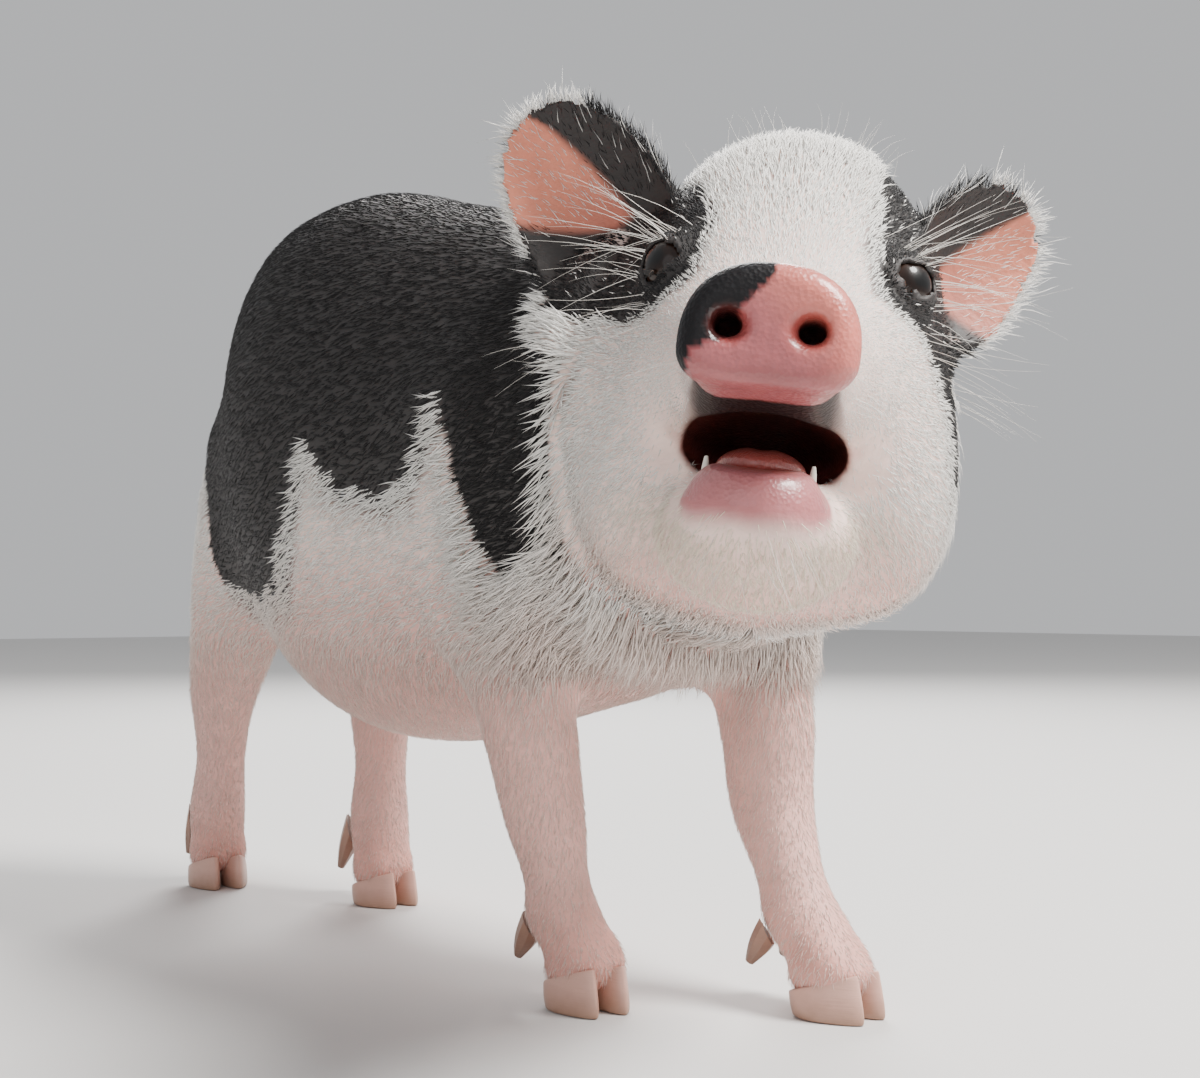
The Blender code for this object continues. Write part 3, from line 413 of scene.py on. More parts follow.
# How softly the forms grow out of the trunk
LEG_BLEND = 0.012
NECK_BLEND = 0.022
HEAD_BLEND = 0.010
TAIL_BLEND = 0.003
SKIN_BOX = ((-0.090, -0.215, -0.002), (0.100, 0.170, 0.250))
BLOCK = 8  # samples along each side of a block
BAND = 0.0095  # blocks that lie farther from the skin are left out

# Depth of the skin under the coat's tips, by the distance behind the snout's tip and along the body
FACE_DEPTH = [(0.008, 0.0), (0.016, 0.0005), (0.045, 0.0009), (0.075, 0.0015), (0.095, 0.0032),
              (0.115, 0.0042)]
BODY_DEPTH = [(-0.110, 0.0042), (-0.080, 0.0042), (-0.050, 0.0030), (0.0, 0.0026), (0.120, 0.0030)]
LEG_DEPTH = 0.0009
EAR_SKIN = 0.0018  # thickness of the leaf
EAR_BLEND = 0.0045  # how softly it grows out of the head

# The head's skin and coat reach to the ears' foot, and the hair behind the ears is short and dark
EAR_FOOT = (0.046, 0.080, 0.024)
EAR_REAR = (0.043, 0.092, 0.034)

# Furrows in the skin, in the head's frame: their paths on both sides, half width, softness of their edges
FURROWS = [
    (((0.0435, 0.0740, 0.0130), (0.0462, 0.0760, 0.0040), (0.0480, 0.0780, -0.0060)), 0.0009, 0.0016),
    (((0.0000, 0.0165, 0.0155), (0.0110, 0.0160, 0.0125), (0.0168, 0.0155, 0.0020)), 0.0009, 0.0014),
    (((0.0000, 0.0720, -0.0520), (0.0150, 0.0730, -0.0500), (0.0300, 0.0770, -0.0440)), 0.0012, 0.0030),
]
LOWER_LIP = [(0.0, 0.0150, -0.0265), (0.0100, 0.0190, -0.0260), (0.0175, 0.0370, -0.0215),
             (0.0200, 0.0430, -0.0160)]
LIP_CORNER = [(0.0180, 0.0370, -0.0190), (0.0212, 0.0440, -0.0150), (0.0195, 0.0350, -0.0120)]
SNOUT_FOLD = [(-0.0165, 0.016, -0.004), (-0.0150, 0.020, -0.011)]
CHEEK_FOLD = [(-0.0435, 0.0740, 0.0130), (-0.0462, 0.0760, 0.0040), (-0.0480, 0.0780, -0.0060)]
LID_CREASE = (0.0083, 0.0064)  # half width and half height of the fold round the lids


def ease(x, start, end):
    t = np.clip((x - start) / (end - start), 0, 1)
    return t * t * (3 - 2 * t)


def steps(x, table):
    """Straight lines between the rows of a table of two columns."""
    return np.interp(x, [row[0] for row in table], [row[1] for row in table])


def to_pig(vectors):
    return vectors @ HEAD_AXES.T


def far_from(points, place):
    return np.linalg.norm(points - floats(place), axis=1)


def path_distance(points, path):
    """Distance from the nearest point of a path of straight pieces."""
    found = None
    for a, b in zip(path, path[1:]):
        a, b = floats(a), floats(b)
        t = np.clip((points - a) @ (b - a) / np.dot(b - a, b - a), 0, 1)
        far = np.linalg.norm(points - a - t[:, None] * (b - a), axis=1)
        found = far if found is None else np.minimum(found, far)
    return found


def ear_side(name):
    """What brings the left side's places to the side of this ear."""
    return floats((1 if name == "ear_left" else -1, 1, 1))


def ear_axes(name):
    """An ear's axes, as on the head's left side: along it, across it, and out of its cup."""
    root, tip, forward = (Vector(values) for values in EAR_SHAPES[name][:3])
    along = (tip - root).normalized()
    wide = -along.cross(forward).normalized()
    facing = wide.cross(along).normalized()
    facing *= 1 if facing.dot(forward) > 0 else -1
    return [floats(axis) for axis in (along, wide, facing)]


def ear_spot(q, name):
    """Where points lie on an ear: along it, across it from -1 to 1, in front of its sheet, and the
    distance from the ear's form."""
    root, tip, _, cup, spread = EAR_SHAPES[name]
    along, wide, facing = ear_axes(name)
    long = (Vector(tip) - Vector(root)).length
    m = q * ear_side(name) - floats(root)
    t = m @ along / long
    w = m @ wide
    above, below = curve(t, EAR_OUTLINE)
    half = np.where(w > 0, above, below) * spread
    v = w / half
    inside = np.clip(v, -1, 1)
    rise = np.clip(t, 0, 1)
    bend = cup * (1 - 0.3 * rise) * (1 - rise**4)
    front = m @ facing + bend * (1 - inside**2) - 0.10 * long * rise**2
    steep = np.sqrt(1 + (2 * bend * inside / half) ** 2)
    sheet = np.abs(front + 0.0012) / steep - EAR_SKIN / 2 * (1.25 - 0.55 * rise)
    over = np.maximum(t - 1, 0) * long
    edge = np.sqrt(np.maximum(np.abs(w) - half, 0) ** 2 + over**2)
    form = np.where(edge > 0, np.sqrt(np.maximum(sheet, 0) ** 2 + edge**2), sheet)
    form = np.maximum(form, np.maximum(np.abs(w) - half - 0.004, (-0.35 - t) * long))
    return t, v, front / steep, form


def tail_form(p):
    joints = [(row[1:4], row[4] * TAIL_SKIN, row[4] * TAIL_SKIN) for row in TAIL]
    return limb(p, joints, blend=0.002)


def head_share(p, q):
    """1 on the head, 0 on the neck and the trunk."""
    _, back, up = q.T
    ahead = union(trunk(p), neck(p), 0.020) - head_form(q)
    by_ear = ease(far_from(mirrored(q), EAR_FOOT), 0.021, 0.014)
    found = np.maximum(ease(ahead, -0.010, -0.002), by_ear)
    return found * ease(up, -0.080, -0.066) * (back < 0.140)


def coat_depth(p, q):
    _, y, z = p.T
    side, back, up = q.T
    face = steps(back, FACE_DEPTH)
    flank = steps(y, BODY_DEPTH)
    flank = flank + (LEG_DEPTH - flank) * ease(z, 0.098, 0.066)
    is_face = ease(back, 0.120, 0.098) * ease(up, -0.078, -0.062)
    is_face = is_face * ease(np.abs(side), 0.064, 0.052)
    return (flank + (face - flank) * is_face).astype(np.float32)


def eye_axes():
    axis = floats(EYE_AXIS)
    axis /= np.linalg.norm(axis)
    wide = np.cross(axis, floats((0, 0, 1)))
    wide /= np.linalg.norm(wide)
    return wide, np.cross(wide, axis), axis


def eyelids(found, m):
    """Two lids with a thin rim over the eyeball, and the fold above and below them."""
    wide, high, axis = eye_axes()
    q = m - floats(EYE_PLACE)
    u, v, w = q @ wide, q @ high, q @ axis
    ball = np.linalg.norm(q, axis=1)
    span = np.clip(np.abs(u) / LID_OPEN[0], 0, 1.4) ** 2
    upper = LID_LIFT + LID_OPEN[1] * 0.80 * (1 - span)
    lower = LID_LIFT - LID_OPEN[1] * 0.88 * (1 - span)
    almond = np.where(w > 0, np.maximum(v - upper, lower - v), 0.01)
    found = union(found, np.maximum(ball - EYE_RADIUS - LID_THICK, -almond), 0.0030)
    ring = np.abs(np.sqrt((u / LID_CREASE[0]) ** 2 + ((v - LID_LIFT) / LID_CREASE[1]) ** 2) - 1) * 0.007
    ring = np.sqrt(ring**2 + (ball - EYE_RADIUS - 0.0026) ** 2) - 0.0010
    found = cut(found, np.where(w > 0, ring, 0.01), 0.0010)
    open_now = np.maximum(almond, ball - EYE_RADIUS - 0.0035)
    found = cut(found, np.where(w > 0, open_now, 0.01), 0.0006)
    return np.maximum(found, EYE_RADIUS + LID_CLEAR - ball)


def nostril(m):
    centre = floats(NOSTRIL_PLACE)
    bore = ellipsoid(m, centre + floats(BORE_PLACE), BORE_RADII)
    return union(ellipsoid(m, centre, NOSTRIL_RADII), bore, 0.0018)


def carved(found, m):
    """The mouth, the nostrils, the furrows and the eyes."""
    before = MOUTH_CORNER[0] - m[:, 1]
    above = m[:, 2] - (MOUTH_CORNER[1] - MOUTH_UPPER * before)
    below = (MOUTH_CORNER[1] - MOUTH_LOWER * before) - m[:, 2]
    found = cut(found, np.maximum(above, below), 0.0012)
    found = cut(found, ellipsoid(m, HOLLOW_PLACE, HOLLOW_RADII), 0.0020)
    found = cut(found, nostril(m), 0.0014)
    for path, radius, soft in FURROWS:
        found = cut(found, path_distance(m, path) - radius, soft)
    return eyelids(found, m)


def skin(p):
    """Distance from the whole skin."""
    q = to_head(p)
    found = union(trunk(p), legs(p), LEG_BLEND)
    found = union(found, neck(p), NECK_BLEND)
    found = union(found, head_form(q), HEAD_BLEND)
    found = found + coat_depth(p, q)
    found = union(found, tail_form(p), TAIL_BLEND)
    near = np.nonzero((q[:, 1] < 0.130) & (q[:, 2] > -0.075) & (np.abs(q[:, 0]) < 0.1))[0]
    part = found[near]
    for name in EAR_SHAPES:
        part = union(part, ear_spot(q[near], name)[-1], EAR_BLEND)
    found[near] = carved(part, mirrored(q[near]))
    return found


def in_chunks(function, points, size=400000):
    return np.concatenate([function(points[i:i + size]) for i in range(0, len(points), size)])


def wrapped(low, high, step, field):
    """A closed mesh round a form: its places and its four-sided faces. Only blocks near the form are
    worked out in full."""
    low, high = np.array(low), np.array(high)
    blocks = np.ceil((high - low) / (step * BLOCK)).astype(int)
    corners = np.stack(np.meshgrid(*[np.arange(n) for n in blocks], indexing="ij"), -1).reshape(-1, 3)
    centres = (low + (corners * BLOCK + (BLOCK - 1) / 2) * step).astype(np.float32)
    rough = in_chunks(field, centres)
    grid = np.repeat(np.repeat(np.repeat(rough.reshape(blocks), BLOCK, 0), BLOCK, 1), BLOCK, 2)
    grid = np.clip(grid, -BAND, BAND).astype(np.float32)
    near = corners[np.abs(rough) < BAND]
    inner = np.stack(np.meshgrid(*[np.arange(BLOCK)] * 3, indexing="ij"), -1).reshape(-1, 3)
    for i in range(0, len(near), 700):
        spots = (near[i:i + 700, None] * BLOCK + inner[None]).reshape(-1, 3)
        values = field((low + spots * step).astype(np.float32))
        grid[spots[:, 0], spots[:, 1], spots[:, 2]] = values
    volume = openvdb.FloatGrid(1.0)
    volume.copyFromArray(grid)
    places, quads = volume.convertToQuads(0.0)
    return (places * step + low).astype(np.float32), quads[:, ::-1]


def slopes(field, p, reach=0.0003):
    """Which way a field grows, and how steeply."""
    found = np.zeros_like(p)
    for axis in range(3):
        move = np.zeros(3, np.float32)
        move[axis] = reach
        found[:, axis] = (in_chunks(field, p + move) - in_chunks(field, p - move)) / (2 * reach)
    return found


def settled(field, p):
    """Places moved onto the form's surface, and their normals."""
    grow = slopes(field, p)
    steep = np.maximum(np.sum(grow**2, axis=1), 0.25)
    move = (in_chunks(field, p) / steep)[:, None] * grow
    size = np.linalg.norm(move, axis=1, keepdims=True)
    p = p - move * np.minimum(1, 0.0004 / np.maximum(size, 1e-9))
    return p, grow / np.maximum(np.linalg.norm(grow, axis=1, keepdims=True), 1e-6)


# Markings

# Lower edge of the black saddle along the body, for the right and the left side
SADDLE_RIGHT = [(-0.106, 0.160), (-0.100, 0.122), (-0.093, 0.110), (-0.084, 0.111), (-0.078, 0.1257),
                (-0.0743, 0.1425), (-0.070, 0.1536), (-0.064, 0.143), (-0.056, 0.134), (-0.037, 0.1306),
                (-0.020, 0.135), (-0.0095, 0.1475), (0.000, 0.129), (0.018, 0.109), (0.040, 0.103),
                (0.060, 0.1035), (0.080, 0.108), (0.087, 0.137), (0.105, 0.150), (0.120, 0.160)]
SADDLE_LEFT = [(-0.098, 0.170), (-0.090, 0.140), (-0.080, 0.118), (-0.060, 0.127), (-0.030, 0.141),
               (0.000, 0.133), (0.020, 0.118), (0.045, 0.106), (0.070, 0.110), (0.084, 0.135),
               (0.105, 0.150), (0.120, 0.160)]
# Front edge of the saddle by height
SADDLE_FRONT = [(0.100, -0.094), (0.116, -0.1010), (0.132, -0.1060), (0.148, -0.1060), (0.165, -0.1020),
                (0.188, -0.0860), (0.220, -0.0800)]
# Inner edges of the patches round the eyes and ears, by height in the head's frame
PATCH_RIGHT = [(0.010, 0.034), (0.0165, 0.0255), (0.0220, 0.0205), (0.0290, 0.0180), (0.0367, 0.0180),
               (0.0445, 0.0200), (0.0517, 0.0270)]
PATCH_LEFT = [(-0.035, 0.046), (-0.010, 0.0400), (0.0078, 0.0360), (0.0134, 0.0310), (0.0170, 0.0260),
              (0.0200, 0.0215), (0.0260, 0.0185), (0.0340, 0.0190), (0.0410, 0.0180), (0.0510, 0.0175)]
# Lower edge of the right patch, and rear limit of both
PATCH_LOW = [(0.0200, 0.0190), (0.0275, 0.0155), (0.0310, 0.0145), (0.0370, 0.0155), (0.0420, 0.0160),
             (0.0500, 0.0165)]
PATCH_REAR = [(0.022, 0.0890), (0.032, 0.1060)]
# Lower edge of the black on the nose disc, from the pig's right to its middle
NOSE_PATCH = [(-0.0180, -0.0125), (-0.0148, -0.0105), (-0.0135, -0.0035), (-0.0095, -0.0030),
              (-0.0068, 0.0000), (-0.0056, 0.0042), (-0.0026, 0.0068), (-0.0004, 0.0095), (0.0004, 0.0150)]


def waves(p, scale, seed):
    """A soft uneven number from about -1 to 1."""
    rng = np.random.default_rng(seed)
    found = np.zeros(len(p), np.float32)
    for i in range(6):
        way = rng.normal(size=3)
        way *= (0.7 + 0.25 * i) / np.linalg.norm(way) * 2 * math.pi / scale
        found += np.sin(p @ way.astype(np.float32) + rng.uniform(0, 6.3)) / 2.6
    return found


def saddle(p):
    """How far points lie inside the black of the body, in metres."""
    x, y, z = p.T
    wave = waves(p, 0.018, 3) * 0.0016
    edge = np.where(x < 0, steps(y, SADDLE_RIGHT), steps(y, SADDLE_LEFT))
    front = y - steps(z, SADDLE_FRONT)
    return np.minimum((z - edge) * 0.8, front) + wave


def hashed(p):
    """An even scatter of numbers from 0 to 1, one for each place."""
    return np.modf(np.abs(np.sin(p @ np.array((12989.8, 78233.0, 37719.0))) * 43758.5453))[0]


def patches(q):
    """How far points of the head lie inside its black."""
    side, back, up = q.T
    wave = waves(q, 0.012, 4) * 0.0010
    x = np.abs(side)
    right = np.minimum(x - steps(up, PATCH_RIGHT), up - steps(x, PATCH_LOW))
    left = np.minimum(x - steps(up, PATCH_LEFT), up + 0.036)
    found = np.where(side < 0, right, left)
    return np.minimum(found, steps(up, PATCH_REAR) - back) + wave


def ear_black(t, v, front, name):
    """How dark the ear's skin is: its back, and parts of its inside."""
    if name == "ear_right":
        inside = np.maximum(ease(v, 0.18, 0.36), ease(t - 0.27 - 0.34 * np.clip(-v, 0, 1), 0.04, -0.04))
    else:
        inside = np.maximum(ease(v, -0.04, 0.16), ease(t - 0.14 - 0.10 * np.clip(-v, 0, 1), 0.05, -0.05))
    return np.where(front > -0.0012, inside, 1.0)


# Colours, linear
PINK = (0.74, 0.42, 0.36)
FAIR = (0.84, 0.63, 0.56)
DARK = (0.020, 0.016, 0.015)
LIP = (0.45, 0.155, 0.160)
NOSE = (0.40, 0.105, 0.110)
NOSE_WARM = (0.62, 0.175, 0.135)
NOSE_BLACK = (0.007, 0.006, 0.007)
EAR_PINK = (0.70, 0.24, 0.15)
# Painted shade: the ear's inside darkens toward its root
EAR_ROOT_SHADE = (0.48, 0.15, 0.10)
MOUTH = (0.36, 0.075, 0.060)
# Painted shade deep in the mouth and the nostrils
RECESS_SHADE = (0.020, 0.006, 0.005)
# Painted shade on the band along the upper lip's edge, at the mouth's roof
MOUTH_ROOF_SHADE = (0.010, 0.004, 0.004)
# Painted shade deep in the mouth, toward the throat
THROAT_SHADE = (0.16, 0.030, 0.024)
# The nostrils' red lining, darkened as painted shade
NOSTRIL_LINING_AND_SHADE = (0.30, 0.045, 0.035)
# Painted shade along the fold beside the snout
SNOUT_FOLD_SHADE = (0.30, 0.25, 0.24)
FOLD_SHADE = (0.10, 0.07, 0.06)
LIP_STAIN = (0.46, 0.27, 0.20)
FOOT = (0.68, 0.33, 0.27)
WHITE_HAIR = (0.86, 0.84, 0.80)
WARM_HAIR = (0.84, 0.75, 0.68)
CREAM_HAIR = (0.84, 0.73, 0.58)
THROAT_HAIR = (0.84, 0.70, 0.63)
LEG_HAIR = (0.82, 0.62, 0.55)
BLACK_HAIR = (0.0075, 0.0065, 0.0070)
BRISTLE_HAIR = (0.84, 0.80, 0.74)
PUPIL = (0.003, 0.003, 0.003)
IRIS_INNER = (0.008, 0.004, 0.003)
IRIS_OUTER = (0.026, 0.011, 0.006)
EYE_WHITE = (0.030, 0.018, 0.015)
TONGUE = (0.33, 0.070, 0.058)
IVORY = (0.80, 0.76, 0.66)
HOOF = ((0.60, 0.35, 0.28), (0.30, 0.17, 0.11))
DEWCLAW = ((0.36, 0.20, 0.14), (0.13, 0.07, 0.045))
FLOOR = (0.62, 0.61, 0.60, 1)
SKY = (0.93, 0.94, 0.96, 1)
BLOOD = (1.0, 0.35, 0.20)  # how far each colour of light goes under the skin


def mixed(a, b, weight):
    a, b = np.asarray(a, np.float32), np.asarray(b, np.float32)
    return a + (b - a) * weight[:, None]


def on_ears(q):
    """For each ear its name, where points lie on it, and whether they do."""
    free = head_form(q) > 0.0012
    for name in EAR_SHAPES:
        t, v, front, form = ear_spot(q, name)
        yield name, t, v, front, (form < 0.0012) & ((t > 0.06) | free) & (t > -0.55)


def body_tint(p, q, m):
    """Pink skin, paler on the face and the back, and dark under the black coat and round the eyes."""
    _, _, z = p.T
    _, back, up = q.T
    face = ease(back, 0.080, 0.040) * ease(up, -0.055, -0.035)
    tint = mixed(PINK, FAIR, np.maximum(face, ease(z, 0.100, 0.122)))
    tint = mixed(tint, FOOT, ease(z, 0.035, 0.010))
    tint = tint * (1 + 0.05 * waves(p, 0.016, 8))[:, None]
    in_head = head_share(p, q)
    patch = ease(patches(q), -0.0035, -0.0005)
    dark = np.maximum(patch * in_head, ease(saddle(p), -0.0120, -0.0030))
    tint = mixed(tint, DARK, np.where(in_head > 0.5, patch, dark))
    return mixed(tint, DARK, ease(far_from(m, EYE_PLACE), EYE_RADIUS + 0.0030, EYE_RADIUS + 0.0018))


def nose_tint(q, hole):
    """The nose disc's colours, with painted shade inside the nostrils, and how black it is."""
    side, back, up = q.T
    ragged = waves(q, 0.009, 6) * 0.0005 + waves(q, 0.0035, 16) * 0.00035
    black = ease(up - steps(side, NOSE_PATCH) + ragged, -0.0004, 0.0004)
    black = black * (side < 0.0016)
    nose = mixed(NOSE, NOSE_WARM, ease(side + up, -0.002, 0.018))
    nose = nose * (1 - 0.22 * ease(up, -0.001, -0.010))[:, None]
    nose = nose * (1 + 0.07 * waves(q, 0.006, 14))[:, None]
    nose = mixed(nose, NOSE_BLACK, black)
    # Inside the nostrils: red lining, darkened as painted shade
    nose = mixed(nose, NOSTRIL_LINING_AND_SHADE, ease(hole, 0.0008, -0.0006) * (1 - 0.7 * black))
    # Painted shade deeper in the nostrils
    return mixed(nose, RECESS_SHADE, ease(back, 0.0034, 0.0085) * (hole < 0.0015)), black


def mouth_tint(p, q, m):
    """The mouth's colours, darkened deeper in and toward its top as painted shade, and how far points lie
    inside it.
    """
    inner = union(head_form(q), neck(p), 0.01)
    inside = ease(inner, -0.0009, -0.0030) * (q[:, 1] < 0.080) * (m[:, 0] < 0.030)
    inside = inside * (np.abs(q[:, 2] + 0.019) < 0.022) * (q[:, 1] > 0.0095)
    # Darker deeper in and toward the mouth's top: painted shade
    flesh = mixed(MOUTH, THROAT_SHADE, ease(inner, -0.0060, -0.0140))
    return mixed(flesh, RECESS_SHADE, 0.75 * ease(q[:, 2], -0.0165, -0.0125)), inside


def lip_edge_shade(q, m):
    """1 on the band of painted shade along the upper lip's edge."""
    _, back, up = q.T
    before = MOUTH_CORNER[0] - back
    off = np.abs(up - (MOUTH_CORNER[1] - MOUTH_UPPER * before))
    roof = ease(off, 0.0050, 0.0032) * (back > 0.0100) * ease(back, 0.044, 0.038)
    return roof * ease(m[:, 0], 0.0190, 0.0120)


def skin_tint(p):
    """The skin's colours, with painted shade in the mouth, the nostrils and the folds, and its kind: 0
    haired, 1 moist, 2 black nose or the painted shade on the mouth's roof.
    """
    q = to_head(p)
    side, back, up = q.T
    m = mirrored(q)
    tint = body_tint(p, q, m)
    # Painted shade along the fold beside the snout
    tint = mixed(tint, SNOUT_FOLD_SHADE, 0.55 * ease(path_distance(q, SNOUT_FOLD), 0.006, 0.001))
    lips = path_distance(m, LOWER_LIP) + 0.0050 * ease(back, 0.028, 0.040)
    tint = mixed(tint, LIP, ease(lips, 0.0095, 0.0045))
    tint = mixed(tint, FOLD_SHADE, 0.9 * ease(path_distance(q, CHEEK_FOLD), 0.0014, 0.0004))
    stain = 0.25 + 0.30 * (side < 0)
    tint = mixed(tint, LIP_STAIN, stain * ease(path_distance(m, LIP_CORNER), 0.0036, 0.0008))
    for name, t, v, front, on in on_ears(q):
        # The ear's inside darkens toward its root: painted shade
        leaf = mixed(EAR_PINK, EAR_ROOT_SHADE, ease(t, 0.75, 0.25))
        leaf = mixed(leaf, DARK, ear_black(t, v, front, name))
        tint = np.where(on[:, None], leaf, tint)
    hole = nostril(m)
    disc_face = (back < 0.0115) & (up > -0.0145) & (m[:, 0] < 0.019)
    disc_face |= (hole < 0.0015) & (back < 0.020) & (up > -0.0050)
    nose, black = nose_tint(q, hole)
    tint = np.where(disc_face[:, None], nose, tint)
    flesh, inside = mouth_tint(p, q, m)
    tint = mixed(tint, flesh, inside)
    roof = lip_edge_shade(q, m)
    # Painted shade on the band along the upper lip's edge
    tint = mixed(tint, MOUTH_ROOF_SHADE, roof)
    kind = np.maximum(disc_face.astype(np.float32), np.maximum(inside, roof))
    kind = np.maximum(kind, 0.6 * ease(lips, 0.0075, 0.0030))
    kind = np.where(disc_face & (black > 0.5) & (hole > 0.0005) | (roof > 0.5), 2.0, kind)
    return np.clip(tint, 0, 1), kind


def new_mesh(name, places, faces, sides):
    """A mesh from arrays. sides is the number of corners of each face."""
    mesh = bpy.data.meshes.new(name)
    mesh.vertices.add(len(places))
    mesh.vertices.foreach_set("co", (places + SHIFT).astype(np.float32).ravel())
    mesh.loops.add(len(faces))
    mesh.loops.foreach_set("vertex_index", faces.astype(np.int32))
    mesh.polygons.add(len(sides))
    starts = np.concatenate([[0], np.cumsum(sides)[:-1]]).astype(np.int32)
    mesh.polygons.foreach_set("loop_start", starts)
    mesh.update(calc_edges=True)
    mesh.validate()
    mesh.shade_smooth()
    obj = bpy.data.objects.new(name, mesh)
    bpy.context.scene.collection.objects.link(obj)
    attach(obj, "root")
    return obj


def store(obj, name, values):
    """One number or colour for each vertex."""
    if values.ndim == 1:
        layer = obj.data.attributes.new(name, "FLOAT", "POINT")
        layer.data.foreach_set("value", values.astype(np.float32))
    else:
        layer = obj.data.color_attributes.new(name, "FLOAT_COLOR", "POINT")
        full = np.concatenate([values, np.ones((len(values), 1))], axis=1)
        layer.data.foreach_set("color", full.astype(np.float32).ravel())


# Node trees

def node(tree, kind, **values):
    made = tree.nodes.new(kind)
    for key, value in values.items():
        if key in made.inputs:
            made.inputs[key].default_value = value
        else:
            setattr(made, key, value)
    return made


def link(tree, start, output, end, entry):
    tree.links.new(start.outputs[output], end.inputs[entry])


def shader(name, **values):
    material = bpy.data.materials.new(name)
    material.use_nodes = True
    tree = material.node_tree
    principled = tree.nodes["Principled BSDF"]
    for key, value in values.items():
        principled.inputs[key.replace("_", " ")].default_value = value
    return material, tree, principled


def tinted(tree, principled, scale=400, low=0.86, high=1.10):
    """The tint stored on the mesh, made slightly uneven."""
    tint = node(tree, "ShaderNodeVertexColor", layer_name="tint")
    where = node(tree, "ShaderNodeTexCoord")
    noise = node(tree, "ShaderNodeTexNoise", Scale=scale, Detail=3.0)
    spread = node(tree, "ShaderNodeMapRange")
    spread.inputs["To Min"].default_value = low
    spread.inputs["To Max"].default_value = high
    product = node(tree, "ShaderNodeVectorMath", operation="SCALE")
    link(tree, where, "Object", noise, "Vector")
    link(tree, noise, "Fac", spread, "Value")
    link(tree, tint, "Color", product, 0)
    link(tree, spread, "Result", product, "Scale")
    link(tree, product, "Vector", principled, "Base Color")
    return where


def bumped(tree, principled, where, layers):
    """Add bump from textures: kind, scale, stretch, strength, distance."""
    last = None
    for kind, scale, stretch, strength, distance in layers:
        turn = node(tree, "ShaderNodeMapping", Scale=stretch)
        link(tree, where, "Object", turn, "Vector")
        if kind == "noise":
            texture = node(tree, "ShaderNodeTexNoise", Scale=scale, Detail=4.0)
            height = texture.outputs["Fac"]
        else:
            texture = node(tree, "ShaderNodeTexVoronoi", Scale=scale)
            height = texture.outputs["Distance"]
        link(tree, turn, "Vector", texture, "Vector")
        bump = node(tree, "ShaderNodeBump", Strength=strength, Distance=distance)
        tree.links.new(height, bump.inputs["Height"])
        if last:
            link(tree, last, "Normal", bump, "Normal")
        last = bump
    link(tree, last, "Normal", principled, "Normal")


def fleshy(principled, depth):
    """Let some light under the surface, as deep as this, in metres."""
    principled.inputs["Subsurface Radius"].default_value = BLOOD
    principled.inputs["Subsurface Scale"].default_value = depth


def haired_skin_look():
    material, tree, principled = shader("haired_skin", Roughness=0.62, Subsurface_Weight=0.12)
    fleshy(principled, 0.004)
    where = tinted(tree, principled, 260)
    wrinkles = ("noise", 700, (1, 0.25, 1), 0.5, 0.0006)
    pores = ("cells", 420, (1, 1, 1), 0.15, 0.0004)
    bumped(tree, principled, where, [wrinkles, pores])
    return material


def moist_skin_look(name="moist_skin", rough=0.36, coat=0.48, shine=0.38):
    material, tree, principled = shader(name, Roughness=rough, Coat_Weight=coat, Coat_Roughness=0.20)
    principled.inputs["Subsurface Weight"].default_value = 0.12
    principled.inputs["Specular IOR Level"].default_value = shine
    fleshy(principled, 0.004)
    where = tinted(tree, principled, 500, 0.88, 1.08)
    grain = ("cells", 1150, (1, 1, 1), 0.40, 0.0004)
    swells = ("noise", 500, (1, 1, 1), 0.25, 0.0005)
    bumped(tree, principled, where, [grain, swells])
    return material


def coat_look():
    material, tree, principled = shader("coat", Roughness=0.60, Specular_IOR_Level=0.30)
    where = tinted(tree, principled, 1500, 0.92, 1.06)
    bumped(tree, principled, where, [("noise", 2500, (1, 0.2, 1), 0.2, 0.0002)])
    return material


def build_skin():
    places, quads = wrapped(*SKIN_BOX, SKIN_STEP, skin)
    places, normals = settled(skin, places)
    obj = new_mesh("skin", places, quads.ravel(), np.full(len(quads), 4))
    tint, kind = skin_tint(places)
    store(obj, "tint", tint)
    obj.data.materials.append(haired_skin_look())
    obj.data.materials.append(moist_skin_look())
    obj.data.materials.append(moist_skin_look("black_nose", 0.50, 0.10, 0.18))
    of_face = kind[quads].mean(axis=1)
    obj.data.polygons.foreach_set("material_index", np.clip(np.round(of_face), 0, 2).astype(np.int32))
    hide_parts(*FLESH)
    return places, normals, quads, of_face


# The coat on the head, by the distance behind the snout's tip: length, tufts in a square millimetre, width
HEAD_LENGTH = [(0.010, 0.0012), (0.030, 0.0019), (0.050, 0.0030), (0.070, 0.0042), (0.086, 0.0075),
               (0.100, 0.0120)]
HEAD_DENSITY = [(0.012, 4.6), (0.030, 3.5), (0.050, 2.35), (0.070, 1.75), (0.095, 1.50)]
HEAD_WIDTH = [(0.012, 0.00022), (0.040, 0.00030), (0.070, 0.00042), (0.095, 0.00050)]
# Its length on the legs, by height
LEG_LENGTH = [(0.0080, 0.0042), (0.0140, 0.0030), (0.050, 0.0034), (0.090, 0.0050)]
TUFT_WIDE = 0.00054
SPREAD = 0.20  # how far tufts stray from the lie
SINK = 0.0004  # how deep they root
DARK_SHARE = 0.980  # of the hairs in the black of the head
FLECKS = 0.94  # hairs of the ears with a hash over this are long and white
DRY = 0.35  # skin that is moister than this grows no hair
PLAN_SIZE = 200000  # points planned at a time
